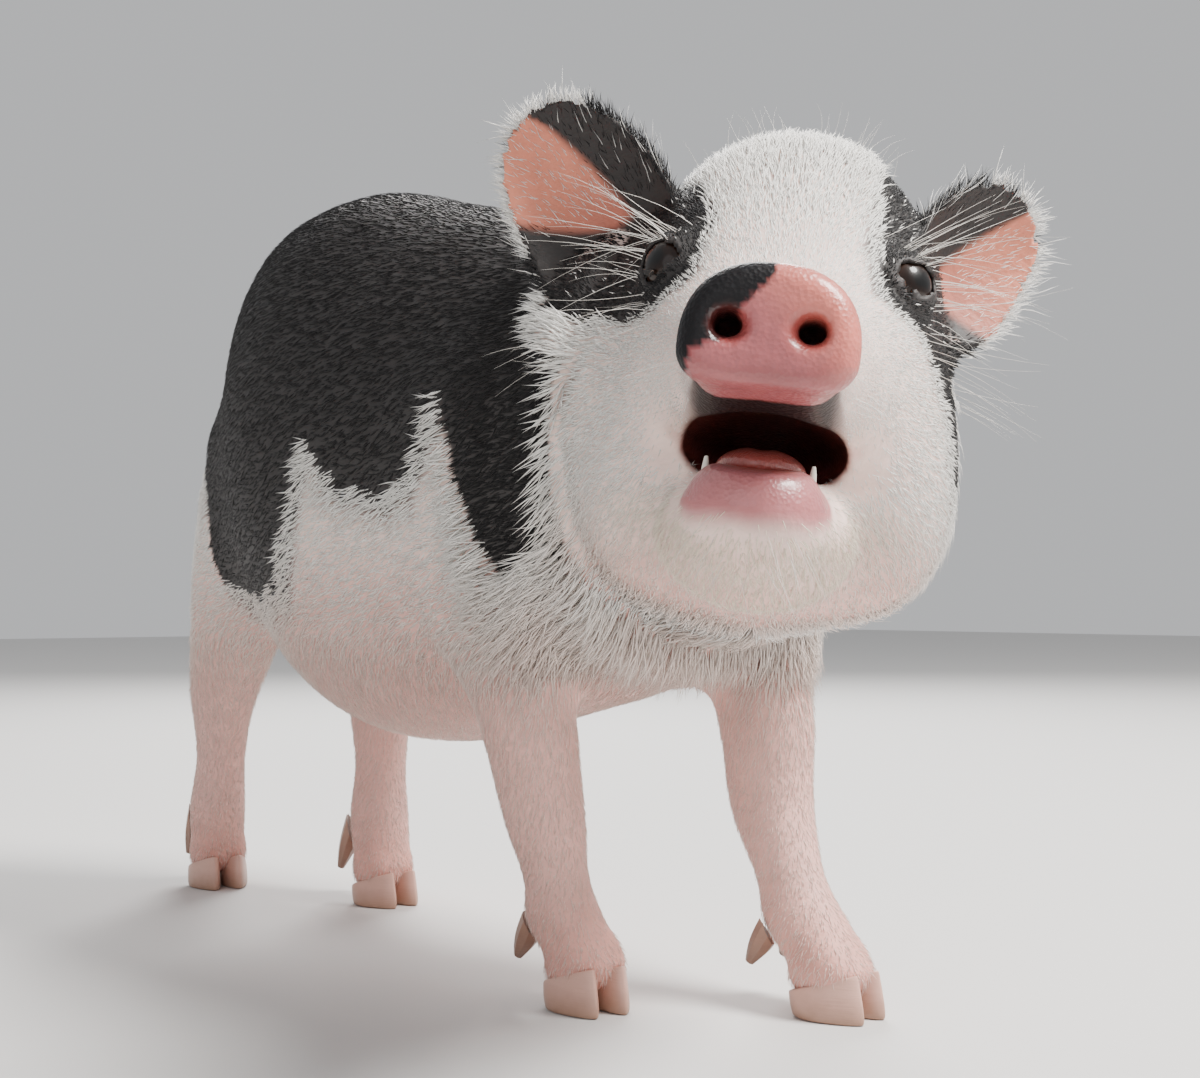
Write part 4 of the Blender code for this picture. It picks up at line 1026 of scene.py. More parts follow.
# A tuft's seven points are two rings of three and a tip: its faces, how light each point is (darker
# toward the root as painted shade), and its place on the sheet
TUFT_FACES = np.array([0, 3, 4, 1, 1, 4, 5, 2, 2, 5, 3, 0, 3, 6, 4, 4, 6, 5, 5, 6, 3])
TUFT_ROOT_SHADE = np.array([0.82, 0.82, 0.82, 0.96, 0.96, 0.96, 1.06])
SHEET_STEP = 0.0015
TUFT_SHEET = np.array([(-1, -1), (0, -1), (1, -1), (-1, 0), (0, 0), (1, 0), (0, 1)]) * SHEET_STEP
# The pieces of the coat, and the slot that each is in
PIECES = {
    "coat_muzzle": "head", "coat_forehead": "head", "coat_cheeks": "head", "coat_jowls": "head",
    "coat_ears": "ears", "coat_collar": "neck", "coat_chest": "chest", "coat_back": "abdomen",
    "coat_flanks": "abdomen", "coat_rump": "hindquarters", "coat_forelegs": "legs",
    "coat_hindlegs": "legs", "coat_tail": "tail",
}


def lay(coat, where, **values):
    """Give the coat these values where a mask says so."""
    for key, value in values.items():
        now = getattr(coat, key)
        mask = where[:, None] if now.ndim == 2 else where
        setattr(coat, key, np.where(mask, value, now))


def lead(coat, share, **values):
    """Lead the coat's values toward these, by a share for each point."""
    for key, value in values.items():
        now = getattr(coat, key)
        part = share[:, None] if now.ndim == 2 else share
        setattr(coat, key, now + (value - now) * part)


def thin(coat, where, share):
    """Thin the coat to a share of its density where a mask says so."""
    coat.density = coat.density * np.where(where, share, 1)


def trunk_coat(p, n):
    """The trunk's coat, with its collar: where it is black, its length, rise, density, width, way, tint
    and piece."""
    x, y, z = p.T
    black = saddle(p)
    is_black = black > 0
    collar = ease(y, -0.066, -0.090) * ease(z, 0.075, 0.10)
    length = 0.0050 + 0.0085 * collar * ~is_black
    length += 0.0032 * ease(black, -0.012, -0.002) * ~is_black * (1 - collar)
    length += 0.0035 * ease(z, 0.105, 0.085) * ease(y, -0.050, -0.075)
    way = floats((0, 1, -0.35)) + np.zeros((len(p), 1), np.float32)
    way[:, 2] -= 1.3 * ease(n[:, 1], -0.35, -0.9) + 0.9 * ease(z, 0.10, 0.08) * (n[:, 2] > -0.6)
    way[:, 0] += 0.25 * np.sign(x) * collar
    white = mixed(WHITE_HAIR, WARM_HAIR, ease(z, 0.125, 0.085))
    piece = np.full(len(p), "coat_flanks", dtype="U16")
    piece[y < -0.030] = "coat_chest"
    piece[y > 0.052] = "coat_rump"
    piece[(z > 0.170) & (y > -0.075)] = "coat_back"
    piece[(y < -0.068) & (z > 0.080)] = "coat_collar"
    return SimpleNamespace(
        black=is_black,
        length=length,
        rise=0.16 + 0.30 * collar * ~is_black + 0.10 * ease(z, 0.11, 0.085),
        density=np.where(is_black, 0.57, 0.85) + 0.75 * collar,
        width=TUFT_WIDE * (0.82 - 0.05 * collar),
        way=way,
        tint=np.where(is_black[:, None], BLACK_HAIR, white),
        piece=piece,
    )


def leg_coat(coat, p):
    """Short pinkish hair that lies down along the legs."""
    _, y, z = p.T
    low = ease(z, 0.098, 0.074)
    down = floats((0, 0.30, -1.6))
    length = steps(z, LEG_LENGTH)
    lead(coat, low, length=length, rise=0.15, density=1.20, width=0.00025, way=down)
    pinker = ease(z + 0.006 * waves(p, 0.03, 12), 0.112, 0.062)
    coat.tint = mixed(coat.tint, LEG_HAIR, pinker * ~coat.black)
    on_leg = z < 0.082
    coat.piece[on_leg & (y < 0)] = "coat_forelegs"
    coat.piece[on_leg & (y >= 0)] = "coat_hindlegs"
    coat.density = coat.density * ease(z, 0.0070, 0.0095)


def head_coat(coat, q, head):
    """The head's coat: it fans out from the snout and stands up behind the cheeks. Gives back where it
    is black."""
    side, back, up = q.T
    is_head = head > 0.5
    rear = ease(back, 0.070, 0.092) * ease(up, 0.030, 0.015)
    droop = 0.30 * ease(up, 0.02, -0.01)
    fan = np.stack([side * 13, np.ones(len(q)), up * 12 - droop], axis=1)
    fan[:, 0] += np.sign(side) * 0.45 * rear
    fan[:, 2] -= 0.25 * rear
    lead(
        coat, head,
        length=steps(back, HEAD_LENGTH) * (1 + 0.35 * ease(up, 0.025, 0.050)),
        rise=0.16 + 0.34 * rear + 0.10 * ease(up, 0.030, 0.055),
        density=steps(back, HEAD_DENSITY),
        width=steps(back, HEAD_WIDTH),
        way=to_pig(fan.astype(np.float32)),
    )
    black = is_head & (patches(q) > 0)
    lay(coat, black, length=np.minimum(coat.length, 0.0032))
    is_dark = black & (hashed(q) < DARK_SHARE)
    lay(coat, is_head, tint=np.where(is_dark[:, None], BLACK_HAIR, WHITE_HAIR))
    rearward = is_head & (back >= 0.046)
    coat.piece[is_head & (back < 0.046)] = "coat_muzzle"
    coat.piece[rearward] = "coat_cheeks"
    coat.piece[rearward & (up > 0.018)] = "coat_forehead"
    coat.piece[is_head & (back >= 0.078) & (up < 0.022)] = "coat_jowls"
    return black


def mouth_coat(coat, q, m, head, black):
    """Bare lips, a thin warm coat at the throat, and longer cream hair on the chin."""
    _, back, up = q.T
    is_head = head > 0.5
    thin(coat, is_head, 0.08 + 0.92 * ease(path_distance(m, LOWER_LIP), 0.0060, 0.0120))
    throat = ease(up, -0.018, -0.045) * ease(back, 0.096, 0.080) * head
    coat.density = coat.density * (1 - 0.60 * throat)
    coat.width = coat.width * (1 - 0.2 * throat)
    coat.tint = mixed(coat.tint, THROAT_HAIR, throat * ~black)
    cream = 0.8 * ease(up, -0.020, -0.030) * ease(back, 0.066, 0.046) * head
    coat.tint = mixed(coat.tint, CREAM_HAIR, cream)
    chin = ease(up, -0.020, -0.028) * ease(back, 0.060, 0.040) * head
    coat.length = coat.length + 0.0022 * chin
    coat.density = coat.density * (1 - 0.25 * chin)
    coat.rise = coat.rise + 0.10 * chin
    thin(coat, is_head, 0.55 + 0.45 * ease(path_distance(m, LIP_CORNER), 0.0012, 0.0030))


def cheek_coat(coat, q, m, is_head):
    """Short dark hair behind the ears, a thin coat in the cheek's fold, and none on the nose."""
    _, back, _ = q.T
    behind = ease(far_from(m, EAR_REAR), 0.019, 0.014)
    lead(coat, behind, length=0.0026)
    coat.tint = mixed(coat.tint, BLACK_HAIR, (behind > 0.3) & (hashed(q) < DARK_SHARE))
    thin(coat, is_head, 0.12 + 0.88 * ease(path_distance(q, CHEEK_FOLD), 0.0004, 0.0016))
    thin(coat, is_head, ease(back, 0.0100, 0.0135))


def lid_coat(coat, m, is_head):
    """Short dense hair that stands up on the lids, and none in the slit between them."""
    lid = ease(far_from(m, EYE_PLACE), EYE_RADIUS + 0.0060, EYE_RADIUS + 0.0020)
    lay(coat, is_head & (lid > 0.4), length=0.0015)
    coat.rise = coat.rise + 0.22 * lid * is_head
    wide, high, axis = eye_axes()
    spot = m - floats(EYE_PLACE)
    across = spot @ wide / (LID_OPEN[0] * 1.15)
    slit = np.sqrt(across**2 + (spot @ high / (LID_OPEN[1] * 1.20)) ** 2)
    thin(coat, spot @ axis > 0.002, ease(slit, 0.98, 1.15))
    coat.density = coat.density * (1 + 0.8 * lid)


def ear_coat(coat, q):
    """Hair that fans out over the ears, to a denser white fringe round their rims."""
    fleck = hashed(q) > FLECKS
    for name, t, v, front, on in on_ears(q):
        along, wide = (axis * ear_side(name) for axis in ear_axes(name)[:2])
        back = front < -0.0012
        rim = np.maximum(ease(np.abs(v), 0.86, 0.98), ease(t, 0.93, 0.99))
        spread = along[None] + wide[None] * (v * 0.9)[:, None]
        lay(
            coat, on,
            length=np.where(back, 0.0032, 0.0036) + 0.0010 * rim + 0.0035 * fleck,
            rise=0.13 + 0.30 * rim,
            density=np.where(back, 1.7, 0.45) + 1.6 * rim,
            width=0.00022,
            way=to_pig(spread.astype(np.float32)),
        )
        low_rim = (v < 0) & (t < (0.40 if name == "ear_right" else 0.12))
        fringe = (rim > 0.35) & ~((v > 0.3) & (t < 0.80)) & ~low_rim
        white = fringe | (ear_black(t, v, front, name) < 0.5) | fleck
        lay(coat, on, tint=np.where(white[:, None], WHITE_HAIR, BLACK_HAIR))
        coat.piece[on] = "coat_ears"


def tail_coat(coat, p):
    """Long hair that hangs down from the tail, white at its tip."""
    _, y, z = p.T
    tail = (tail_form(p) < 0.0012) & (y > 0.116)
    length = 0.0060 + 0.010 * ease(z, 0.150, 0.128)
    lay(coat, tail, length=length, density=2.0, width=0.00042, way=floats((0, -0.05, -1)))
    lay(coat, tail & (z < 0.136), tint=WHITE_HAIR)
    coat.piece[tail] = "coat_tail"


def coat_plan(p, n):
    """What the coat is like at points of the skin with these normals."""
    q = to_head(p)
    _, back, up = q.T
    m = mirrored(q)
    head = head_share(p, q)
    is_head = head > 0.5
    coat = trunk_coat(p, n)
    leg_coat(coat, p)
    black = head_coat(coat, q, head)
    mouth_coat(coat, q, m, head, black)
    cheek_coat(coat, q, m, is_head)
    lid_coat(coat, m, is_head)
    inner = (head_form(q) < -0.0022) & is_head & (back < 0.080) & (m[:, 0] < 0.030) & (up < 0)
    lay(coat, inner, density=0)
    ear_coat(coat, q)
    tail_coat(coat, p)
    way = coat.way - n * np.sum(coat.way * n, axis=1)[:, None]
    coat.way = way / np.maximum(np.linalg.norm(way, axis=1, keepdims=True), 1e-6)
    coat.tint = coat.tint.astype(np.float32)
    return coat


def rooted(places, normals, quads, kinds, rng):
    """Roots over the skin, as dense as the coat there: their places and normals."""
    corners = places[quads]
    crossed = np.cross(corners[:, 2] - corners[:, 0], corners[:, 3] - corners[:, 1])
    area = np.linalg.norm(crossed, axis=1) / 2
    centre, way = corners.mean(axis=1), normals[quads].mean(axis=1)
    starts = range(0, len(quads), PLAN_SIZE)
    density = [coat_plan(centre[i:i + PLAN_SIZE], way[i:i + PLAN_SIZE]).density for i in starts]
    total = np.cumsum(area * 1e6 * np.concatenate(density) * (kinds < DRY))
    count = int(total[-1])
    chosen = np.clip(np.searchsorted(total, np.arange(count) + rng.random(count)), 0, len(quads) - 1)
    a, b = rng.random((count, 1)), rng.random((count, 1))
    weights = np.stack([(1 - a) * (1 - b), a * (1 - b), a * b, (1 - a) * b], axis=1)
    roots = (corners[chosen] * weights).sum(axis=1)
    n = (normals[quads[chosen]] * weights).sum(axis=1)
    n /= np.maximum(np.linalg.norm(n, axis=1, keepdims=True), 1e-6)
    return roots.astype(np.float32), n.astype(np.float32)


def legs_unwrapped(p, pair):
    """Round each leg of a pair, the right one on the sheet's first half."""
    on_right = p[:, 0] < 0
    middle_x, middle_y = np.zeros(len(p)), np.zeros(len(p))
    for name, chosen in ((pair + "_right", on_right), (pair + "_left", p[:, 0] > 0)):
        rows = sorted((place[2], place[0], place[1]) for place, _, _ in LEGS[name])
        middle_x = np.where(chosen, steps(p[:, 2], [row[:2] for row in rows]), middle_x)
        middle_y = np.where(chosen, steps(p[:, 2], [row[::2] for row in rows]), middle_y)
    turn = np.arctan2(p[:, 0] - middle_x, p[:, 1] - middle_y) / (4 * math.pi) + 0.25
    return turn + np.where(on_right, 0, 0.5), p[:, 2] / 0.10


def unwrapped(p, piece):
    """Places on a sheet unrolled from the skin: round the head, round the trunk, round each leg."""
    if piece in ("coat_muzzle", "coat_forehead", "coat_cheeks", "coat_jowls", "coat_ears"):
        q = to_head(p)
        turn = np.arctan2(q[:, 0], q[:, 2]) / (2 * math.pi) + 0.5
        long = (q[:, 1] + 0.010) / 0.14
    elif piece in ("coat_forelegs", "coat_hindlegs"):
        turn, long = legs_unwrapped(p, piece[len("coat_"):-1])
    else:
        turn = np.arctan2(p[:, 0], p[:, 2] - 0.140) / (2 * math.pi) + 0.5
        long = (p[:, 1] + 0.12) / 0.27
    return np.stack([np.clip(turn, 0, 1), np.clip(long, 0, 1)], axis=1) * 0.99 + 0.005


def tuft_mesh(name, roots, n, plan, rng):
    """Flat tapered tufts, each of three ribs that meet in its tip."""
    count = len(roots)
    way = plan["way"]
    across = np.cross(n, way)
    stray = rng.normal(size=(count, 1)).astype(np.float32) * SPREAD
    way = way + across * stray
    way /= np.linalg.norm(way, axis=1, keepdims=True)
    across = np.cross(n, way)
    size = (plan["length"] * rng.uniform(0.72, 1.25, count))[:, None]
    wide = (plan["width"] * rng.uniform(0.8, 1.2, count))[:, None] / 2
    rise = (plan["rise"] * rng.uniform(0.7, 1.35, count))[:, None]
    sway = across * (rng.normal(size=(count, 1)) * 0.10)
    rings = []
    for t, taper in ((0.0, 0.75), (0.5, 0.85)):
        lift = n * rise * t * (1.15 - 0.55 * t)
        spot = roots - n * SINK * (1 - t) + size * (way * t + lift + sway * t * t)
        rings += [spot - across * wide * taper, spot + n * wide * 0.7 * taper, spot + across * wide * taper]
    tip = roots + size * (way + n * rise * 0.6 + sway)
    places = np.stack(rings + [tip], axis=1).reshape(-1, 3)
    faces = (np.arange(count)[:, None] * 7 + TUFT_FACES[None]).ravel()
    obj = new_mesh(name, places, faces, np.tile([4, 4, 4, 3, 3, 3], count))
    shade = (plan["tint"] * rng.uniform(0.86, 1.08, (count, 1)))
    # Each tuft darker toward its root: painted shade
    store(obj, "tint", np.clip(shade[:, None] * TUFT_ROOT_SHADE[None, :, None], 0, 1).reshape(-1, 3))
    uv = (unwrapped(roots, name)[:, None] + TUFT_SHEET[None]).reshape(-1, 2)
    layer = obj.data.uv_layers.new(name="OFBake")
    layer.data.foreach_set("uv", uv[faces].astype(np.float32).ravel())
    return obj


def build_coat(places, normals, quads, kinds):
    rng = np.random.default_rng(11)
    look = coat_look()
    roots, n = rooted(places, normals, quads, kinds, rng)
    plan = coat_plan(roots, n)
    for name, slot in PIECES.items():
        chosen = plan.piece == name
        part = {key: value[chosen] for key, value in vars(plan).items()}
        obj = tuft_mesh(name, roots[chosen], n[chosen], part, rng)
        obj.data.materials.append(look)


# The eyes, tongue and teeth
SIDES = (("left", 1), ("right", -1))
EYE_RINGS, EYE_AROUND = 40, 48
EYE_GAP = 0.0002  # between the eyeball and the lids
CORNEA = 0.05  # how far it bulges, as a share of the radius
TONGUE_PLACE = (0, 0.0375, -0.0207)
TONGUE_RADII = (0.0092, 0.0150, 0.0046)
TONGUE_BOX = ((-0.011, 0.020, -0.0280), (0.011, 0.055, -0.0135))
TONGUE_STEP = 0.0005
GROOVE_HEIGHT = -0.0152
GROOVE_RADIUS = 0.0016
# The teeth of one side: across, back, height, radius
TEETH = [(TOOTH[0], TOOTH[1], 0.0013, 0.0008), (0.0030, 0.0275, 0.0004, 0.0009)]
TEETH_REACH = 0.013
TEETH_BOX = ((0.020, -0.0245), (0.032, -0.0125))  # back and up
TEETH_STEP = 0.0003


def eye_surface(sign):
    """An eyeball with its cornea: a grid of places in its own axes, the same in the head's frame, and
    faces."""
    angles = np.linspace(0, math.pi, EYE_RINGS + 1)
    turn = np.linspace(0, 2 * math.pi, EYE_AROUND, endpoint=False)
    radius = (EYE_RADIUS - EYE_GAP) * (1 + CORNEA * ease(np.degrees(angles), 42, 20))
    out = np.sin(angles)[:, None]
    own = np.stack([out * np.cos(turn), out * np.sin(turn), np.cos(angles)[:, None] + 0 * turn], axis=-1)
    own = own * radius[:, None, None]
    mirror = np.array((sign, 1, 1))
    m = own.reshape(-1, 3) @ (np.stack(eye_axes()) * mirror) + np.array(EYE_PLACE) * mirror
    i, j = np.meshgrid(np.arange(EYE_RINGS), np.arange(EYE_AROUND), indexing="ij")
    k = (j + 1) % EYE_AROUND
    low, high = i * EYE_AROUND, (i + 1) * EYE_AROUND
    faces = np.stack([low + j, high + j, high + k, low + k], -1)
    return own, m, faces[..., ::sign]


def eye_tint(u, v):
    """Pupil, iris with its rays, and the dark white round it."""
    out = np.sqrt((u / 1.15) ** 2 + (v / 0.85) ** 2) / EYE_RADIUS
    ray = 0.12 * np.sin(23 * np.arctan2(v, u)) * np.sin(11 * np.arctan2(v, u) + 1)
    iris = mixed(IRIS_INNER, IRIS_OUTER, ease(out + ray * 0.3, 0.30, 0.70))
    return mixed(mixed(PUPIL, iris, ease(out, 0.24, 0.30)), EYE_WHITE, ease(out, 0.76, 0.86))


def build_eyes():
    material, tree, principled = shader("eyeball", Roughness=0.35, Coat_Weight=0.42, Coat_Roughness=0.02)
    principled.inputs["Specular IOR Level"].default_value = 0.15
    tint = node(tree, "ShaderNodeVertexColor", layer_name="tint")
    link(tree, tint, "Color", principled, "Base Color")
    for side, sign in SIDES:
        own, m, faces = eye_surface(sign)
        places = from_head(m.astype(np.float32))
        obj = new_mesh("eyeball_" + side, places, faces.ravel(), np.full(EYE_RINGS * EYE_AROUND, 4))
        store(obj, "tint", eye_tint(own[..., 0].ravel(), own[..., 1].ravel()))
        obj.data.materials.append(material)
        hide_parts("eye_" + side)


def small_form(name, box, step, field, look, tint, stands_for):
    """A closed piece of one colour, wrapped round a form that is given in the head's frame."""
    places, quads = wrapped(*box, step, field)
    places = from_head(settled(field, places)[0])
    obj = new_mesh(name, places, quads.ravel(), np.full(len(quads), 4))
    obj.data.materials.append(look)
    store(obj, "tint", np.tile(np.array(tint), (len(places), 1)))
    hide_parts(stands_for)


def tongue_form(m):
    tongue = ellipsoid(m, TONGUE_PLACE, TONGUE_RADII)
    groove = np.sqrt(m[:, 0] ** 2 + (m[:, 2] - GROOVE_HEIGHT) ** 2) - GROOVE_RADIUS
    return cut(tongue, groove, 0.0020)


def tooth_form(m):
    found = None
    for across, back, height, radius in TEETH:
        q = m - floats((across, back, TOOTH[2] - 0.0020))
        up = np.clip((q[:, 2] + 0.004) / (0.004 + height), 0, 1)
        far = np.sqrt(q[:, 0] ** 2 + (q[:, 1] + 0.0006 * up**2) ** 2)
        one = np.maximum(far - radius * (1 - 0.75 * up**2.5), np.abs(q[:, 2] + 0.002) - height / 2 - 0.002)
        found = one if found is None else np.minimum(found, one)
    return found


def build_mouth():
    flesh, tree, principled = shader("tongue_skin", Roughness=0.33, Coat_Weight=0.6, Coat_Roughness=0.15)
    principled.inputs["Subsurface Weight"].default_value = 0.15
    principled.inputs["Subsurface Scale"].default_value = 0.003
    where = tinted(tree, principled, 900, 0.85, 1.10)
    bumped(tree, principled, where, [("cells", 1800, (1, 1, 1), 0.5, 0.0003)])
    small_form("tongue_form", TONGUE_BOX, TONGUE_STEP, tongue_form, flesh, TONGUE, "tongue")
    ivory, tree, principled = shader("ivory", Roughness=0.25, Coat_Weight=0.4, Coat_Roughness=0.1)
    tinted(tree, principled, 900, 0.92, 1.05)
    for side, sign in SIDES:
        mirror = floats((sign, 1, 1))
        low, high = sorted((0.0, TEETH_REACH * sign))
        box = ((low, *TEETH_BOX[0]), (high, *TEETH_BOX[1]))

        def teeth(m):
            return tooth_form(m * mirror)

        small_form("teeth_" + side, box, TEETH_STEP, teeth, ivory, IVORY, "tooth_" + side)


HORN_BEVEL = 0.0007


def horn_look(name, light, dark, low, high):
    """Horn that darkens from the coronet down, with fine rings of growth."""
    material, tree, principled = shader(name, Roughness=0.42, Coat_Weight=0.15, Coat_Roughness=0.3)
    where = node(tree, "ShaderNodeTexCoord")
    split = node(tree, "ShaderNodeSeparateXYZ")
    noise = node(tree, "ShaderNodeTexNoise", Scale=350.0, Detail=4.0)
    rise = node(tree, "ShaderNodeMapRange")
    rise.inputs["From Min"].default_value = low
    rise.inputs["From Max"].default_value = high
    ramp = node(tree, "ShaderNodeValToRGB")
    ramp.color_ramp.elements[0].color = (*dark, 1)
    ramp.color_ramp.elements[1].color = (*light, 1)
    blend = node(tree, "ShaderNodeMath", operation="MULTIPLY_ADD")
    blend.inputs[1].default_value = 0.35
    link(tree, where, "Object", split, "Vector")
    link(tree, where, "Object", noise, "Vector")
    link(tree, split, "Z", rise, "Value")
    link(tree, noise, "Fac", blend, 0)
    link(tree, rise, "Result", blend, 2)
    link(tree, blend, "Value", ramp, "Fac")
    link(tree, ramp, "Color", principled, "Base Color")
    growth = ("noise", 900, (0.15, 0.15, 2.2), 0.35, 0.0003)
    dents = ("noise", 300, (1, 1, 1), 0.2, 0.0004)
    bumped(tree, principled, where, [growth, dents])
    return material


def horn(name, look, slot):
    """A rounded claw or dewclaw, from the solid's own form."""
    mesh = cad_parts[name].data.copy()
    bm = bmesh.new()
    bm.from_mesh(mesh)
    bmesh.ops.remove_doubles(bm, verts=bm.verts, dist=1e-6)
    bmesh.ops.dissolve_limit(bm, angle_limit=math.radians(4), verts=bm.verts, edges=bm.edges)
    bm.to_mesh(mesh)
    bm.free()
    mesh.materials.clear()
    mesh.materials.append(look)
    obj = bpy.data.objects.new(name.replace("claw", "horn"), mesh)
    bpy.context.scene.collection.objects.link(obj)
    bevel = obj.modifiers.new("edges", "BEVEL")
    bevel.width = HORN_BEVEL
    bevel.segments = 2
    smooth = obj.modifiers.new("round", "SUBSURF")
    smooth.levels = smooth.render_levels = 2
    mesh.shade_smooth()
    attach(obj, "root")
    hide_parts(name)


def build_horn():
    hoof = horn_look("hoof_horn", *HOOF, 0.0005, 0.0085)
    spur = horn_look("dewclaw_horn", *DEWCLAW, 0.008, 0.026)
    for names, look, slot in ((CLAWS, hoof, "hooves"), (DEWCLAWS, spur, "dewclaws")):
        for name in names:
            horn(name, look, slot)


# Bristles: where they root in the head's frame, how far they scatter, how many, their length, and the
# way that they sweep
BRISTLES = [
    ((0.0270, 0.0600, 0.0345), 0.0050, 16, 0.032, (0.95, 0.55, 0.42)),
    ((0.0330, 0.0680, 0.0280), 0.0055, 14, 0.030, (1.0, 0.40, 0.10)),
    ((0.0300, 0.0600, 0.0150), 0.0050, 8, 0.025, (1.0, 0.25, -0.35)),
    ((0.0420, 0.0820, 0.0080), 0.0080, 14, 0.022, (1.0, 0.30, -0.45)),
    ((0.0280, 0.0580, 0.0315), 0.0022, 7, 0.008, (0.55, -0.85, 0.10)),
    ((0.0190, 0.0250, -0.0060), 0.0070, 20, 0.010, (0.85, 0.20, -0.30)),
    ((0.0060, 0.0230, -0.0400), 0.0090, 18, 0.011, (0.35, -0.30, -0.85)),
    ((0.0120, 0.0800, 0.0600), 0.0120, 20, 0.012, (0.25, 0.45, 0.85)),
]
BRISTLE_RINGS = 6
BRISTLE_SINK = 0.0006
BRISTLE_RADIUS = 0.000085


def bristle_mesh(name, roots, ways, normals, sizes, rng):
    """Long hairs that bend and taper, with three sides."""
    count, rings = len(roots), BRISTLE_RINGS
    across = np.cross(normals, ways)
    across /= np.maximum(np.linalg.norm(across, axis=1, keepdims=True), 1e-6)
    other = np.cross(ways, across)
    bend = across * rng.normal(size=(count, 1)) * 0.16
    bend = bend + np.array((0, 0, -1)) * rng.uniform(0.02, 0.22, (count, 1))
    parts = []
    for i in range(rings):
        t = i / (rings - 1)
        spot = roots + sizes[:, None] * (ways * t + bend * t * t) - normals * BRISTLE_SINK * (1 - t)
        radius = BRISTLE_RADIUS * (1 - 0.80 * t) * (0.6 + sizes[:, None] / 0.03 * 0.5)
        for k in range(3):
            a = 2 * math.pi * k / 3
            parts.append(spot + radius * (across * math.cos(a) + other * math.sin(a)))
    places = np.stack(parts, axis=1).reshape(-1, 3)
    pattern = []
    for i in range(rings - 1):
        for k in range(3):
            j = (k + 1) % 3
            pattern += [i * 3 + k, i * 3 + j, i * 3 + 3 + j, i * 3 + 3 + k]
    faces = (np.arange(count)[:, None] * rings * 3 + np.array(pattern)[None]).ravel()
    return new_mesh(name, places.astype(np.float32), faces, np.full(count * (rings - 1) * 3, 4))


def bristle_roots(places, normals, rng):
    """For each bristle its root, its way, the skin's normal there and its size."""
    q = to_head(places)
    near_head = np.nonzero((q[:, 1] < 0.12) & (q[:, 2] > -0.07))[0]
    q, n = q[near_head], normals[near_head]
    rows = []
    for centre, spread, count, length, way in BRISTLES:
        for _, sign in SIDES:
            mirror = np.array((sign, 1, 1))
            for _ in range(count):
                aim = np.array(centre) * mirror + rng.normal(size=3) * spread * 0.6
                found = np.argmin(np.sum((q - aim) ** 2, axis=1))
                turned = to_pig(np.array(way) * mirror)
                turned = turned / np.linalg.norm(turned) + rng.normal(size=3) * 0.13 + n[found] * 0.35
                size = length * rng.uniform(0.55, 1.15)
                rows.append((places[near_head[found]], turned / np.linalg.norm(turned), n[found], size))
    return [np.array(column) for column in zip(*rows)]


def build_bristles(places, normals):
    rng = np.random.default_rng(21)
    roots, ways, ups, sizes = bristle_roots(places, normals, rng)
    obj = bristle_mesh("bristles", roots, ways, ups, sizes, rng)
    shade = rng.uniform(0.8, 1.05, len(roots))[:, None] * np.array(BRISTLE_HAIR)
    store(obj, "tint", np.repeat(shade, 3 * BRISTLE_RINGS, axis=0))
    along = np.repeat(np.linspace(-1, 1, BRISTLE_RINGS), 3)
    patch = np.stack([np.tile((-1, 0, 1), BRISTLE_RINGS), along], axis=1) * SHEET_STEP
    uv = (unwrapped(roots, "coat_cheeks")[:, None] + patch[None]).reshape(-1, 2)
    index = np.empty(len(obj.data.loops), np.int32)
    obj.data.loops.foreach_get("vertex_index", index)
    obj.data.uv_layers.new(name="OFBake").data.foreach_set("uv", uv[index].astype(np.float32).ravel())
    material, tree, principled = shader("bristle", Roughness=0.40)
    tinted(tree, principled, 1500, 0.92, 1.06)
    obj.data.materials.append(material)


# Camera and light

CAMERA_PLACE = (-0.276, -0.409, 0.102)
CAMERA_WAY = (0.6206, 0.7841, 0.0366)
LENS = 50.0  # millimetres, on a sensor 36 mm wide
FLOOR_HALF = 4.0
LIT_PLACE = (0, -0.02, 0.12)  # what the lights point at
SKY_STRENGTH = 0.62
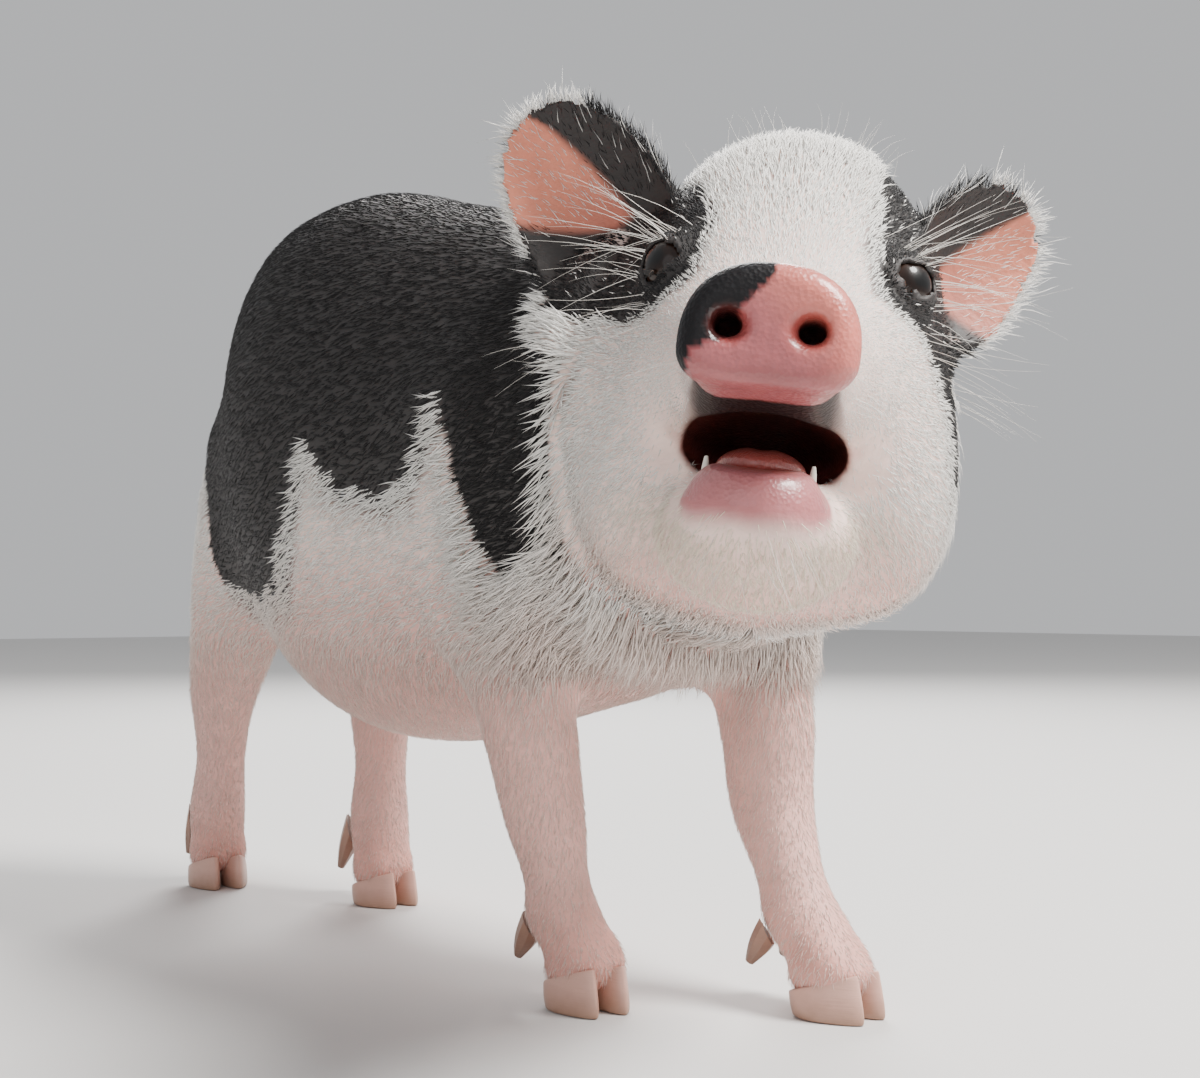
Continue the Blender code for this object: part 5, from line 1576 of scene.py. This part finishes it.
# Name, place, diameter, power in watts, colour
LIGHTS = [
    ("key", (0.45, -0.80, 1.25), 0.6, 58.0, (1.0, 0.975, 0.94)),
    ("fill", (-1.20, -0.70, 0.60), 1.2, 3.0, (0.95, 0.975, 1.0)),
    ("rim", (0.75, 0.95, 1.00), 0.8, 30.0, (1.0, 0.985, 0.97)),
]


def build_view():
    lens = bpy.data.cameras.new("camera")
    lens.lens, lens.sensor_width, lens.clip_start = LENS, 36, 0.01
    camera = bpy.data.objects.new("camera", lens)
    camera.location = Vector(CAMERA_PLACE) + Vector(SHIFT)
    camera.rotation_euler = Vector(CAMERA_WAY).to_track_quat("-Z", "Y").to_euler()
    bpy.context.scene.collection.objects.link(camera)
    bpy.context.scene.camera = camera


def build_stage():
    bm = bmesh.new()
    bmesh.ops.create_grid(bm, x_segments=1, y_segments=1, size=FLOOR_HALF)
    mesh = bpy.data.meshes.new("floor")
    bm.to_mesh(mesh)
    bm.free()
    floor = bpy.data.objects.new("floor", mesh)
    bpy.context.scene.collection.objects.link(floor)
    material, _, principled = shader("pale_floor", Roughness=0.9)
    principled.inputs["Base Color"].default_value = FLOOR
    mesh.materials.append(material)
    floor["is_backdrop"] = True
    for name, place, size, power, color in LIGHTS:
        light = bpy.data.lights.new(name, "AREA")
        light.shape, light.size, light.energy, light.color = "DISK", size, power, color
        lamp = bpy.data.objects.new(name, light)
        lamp.location = place
        lamp.rotation_euler = (Vector(LIT_PLACE) - Vector(place)).to_track_quat("-Z", "Y").to_euler()
        bpy.context.scene.collection.objects.link(lamp)
    world = bpy.data.worlds.new("studio")
    world.use_nodes = True
    world.node_tree.nodes["Background"].inputs["Color"].default_value = SKY
    world.node_tree.nodes["Background"].inputs["Strength"].default_value = SKY_STRENGTH
    bpy.context.scene.world = world


def main():
    build_view()
    build_stage()
    places, normals, quads, kinds = build_skin()
    build_coat(places, normals, quads, kinds)
    build_bristles(places, normals)
    build_eyes()
    build_mouth()
    build_horn()


main()
boxes = {"cad": cad_box, "visual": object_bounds()}
{key: [[float(x) for x in corner] for corner in box] for key, box in boxes.items()}
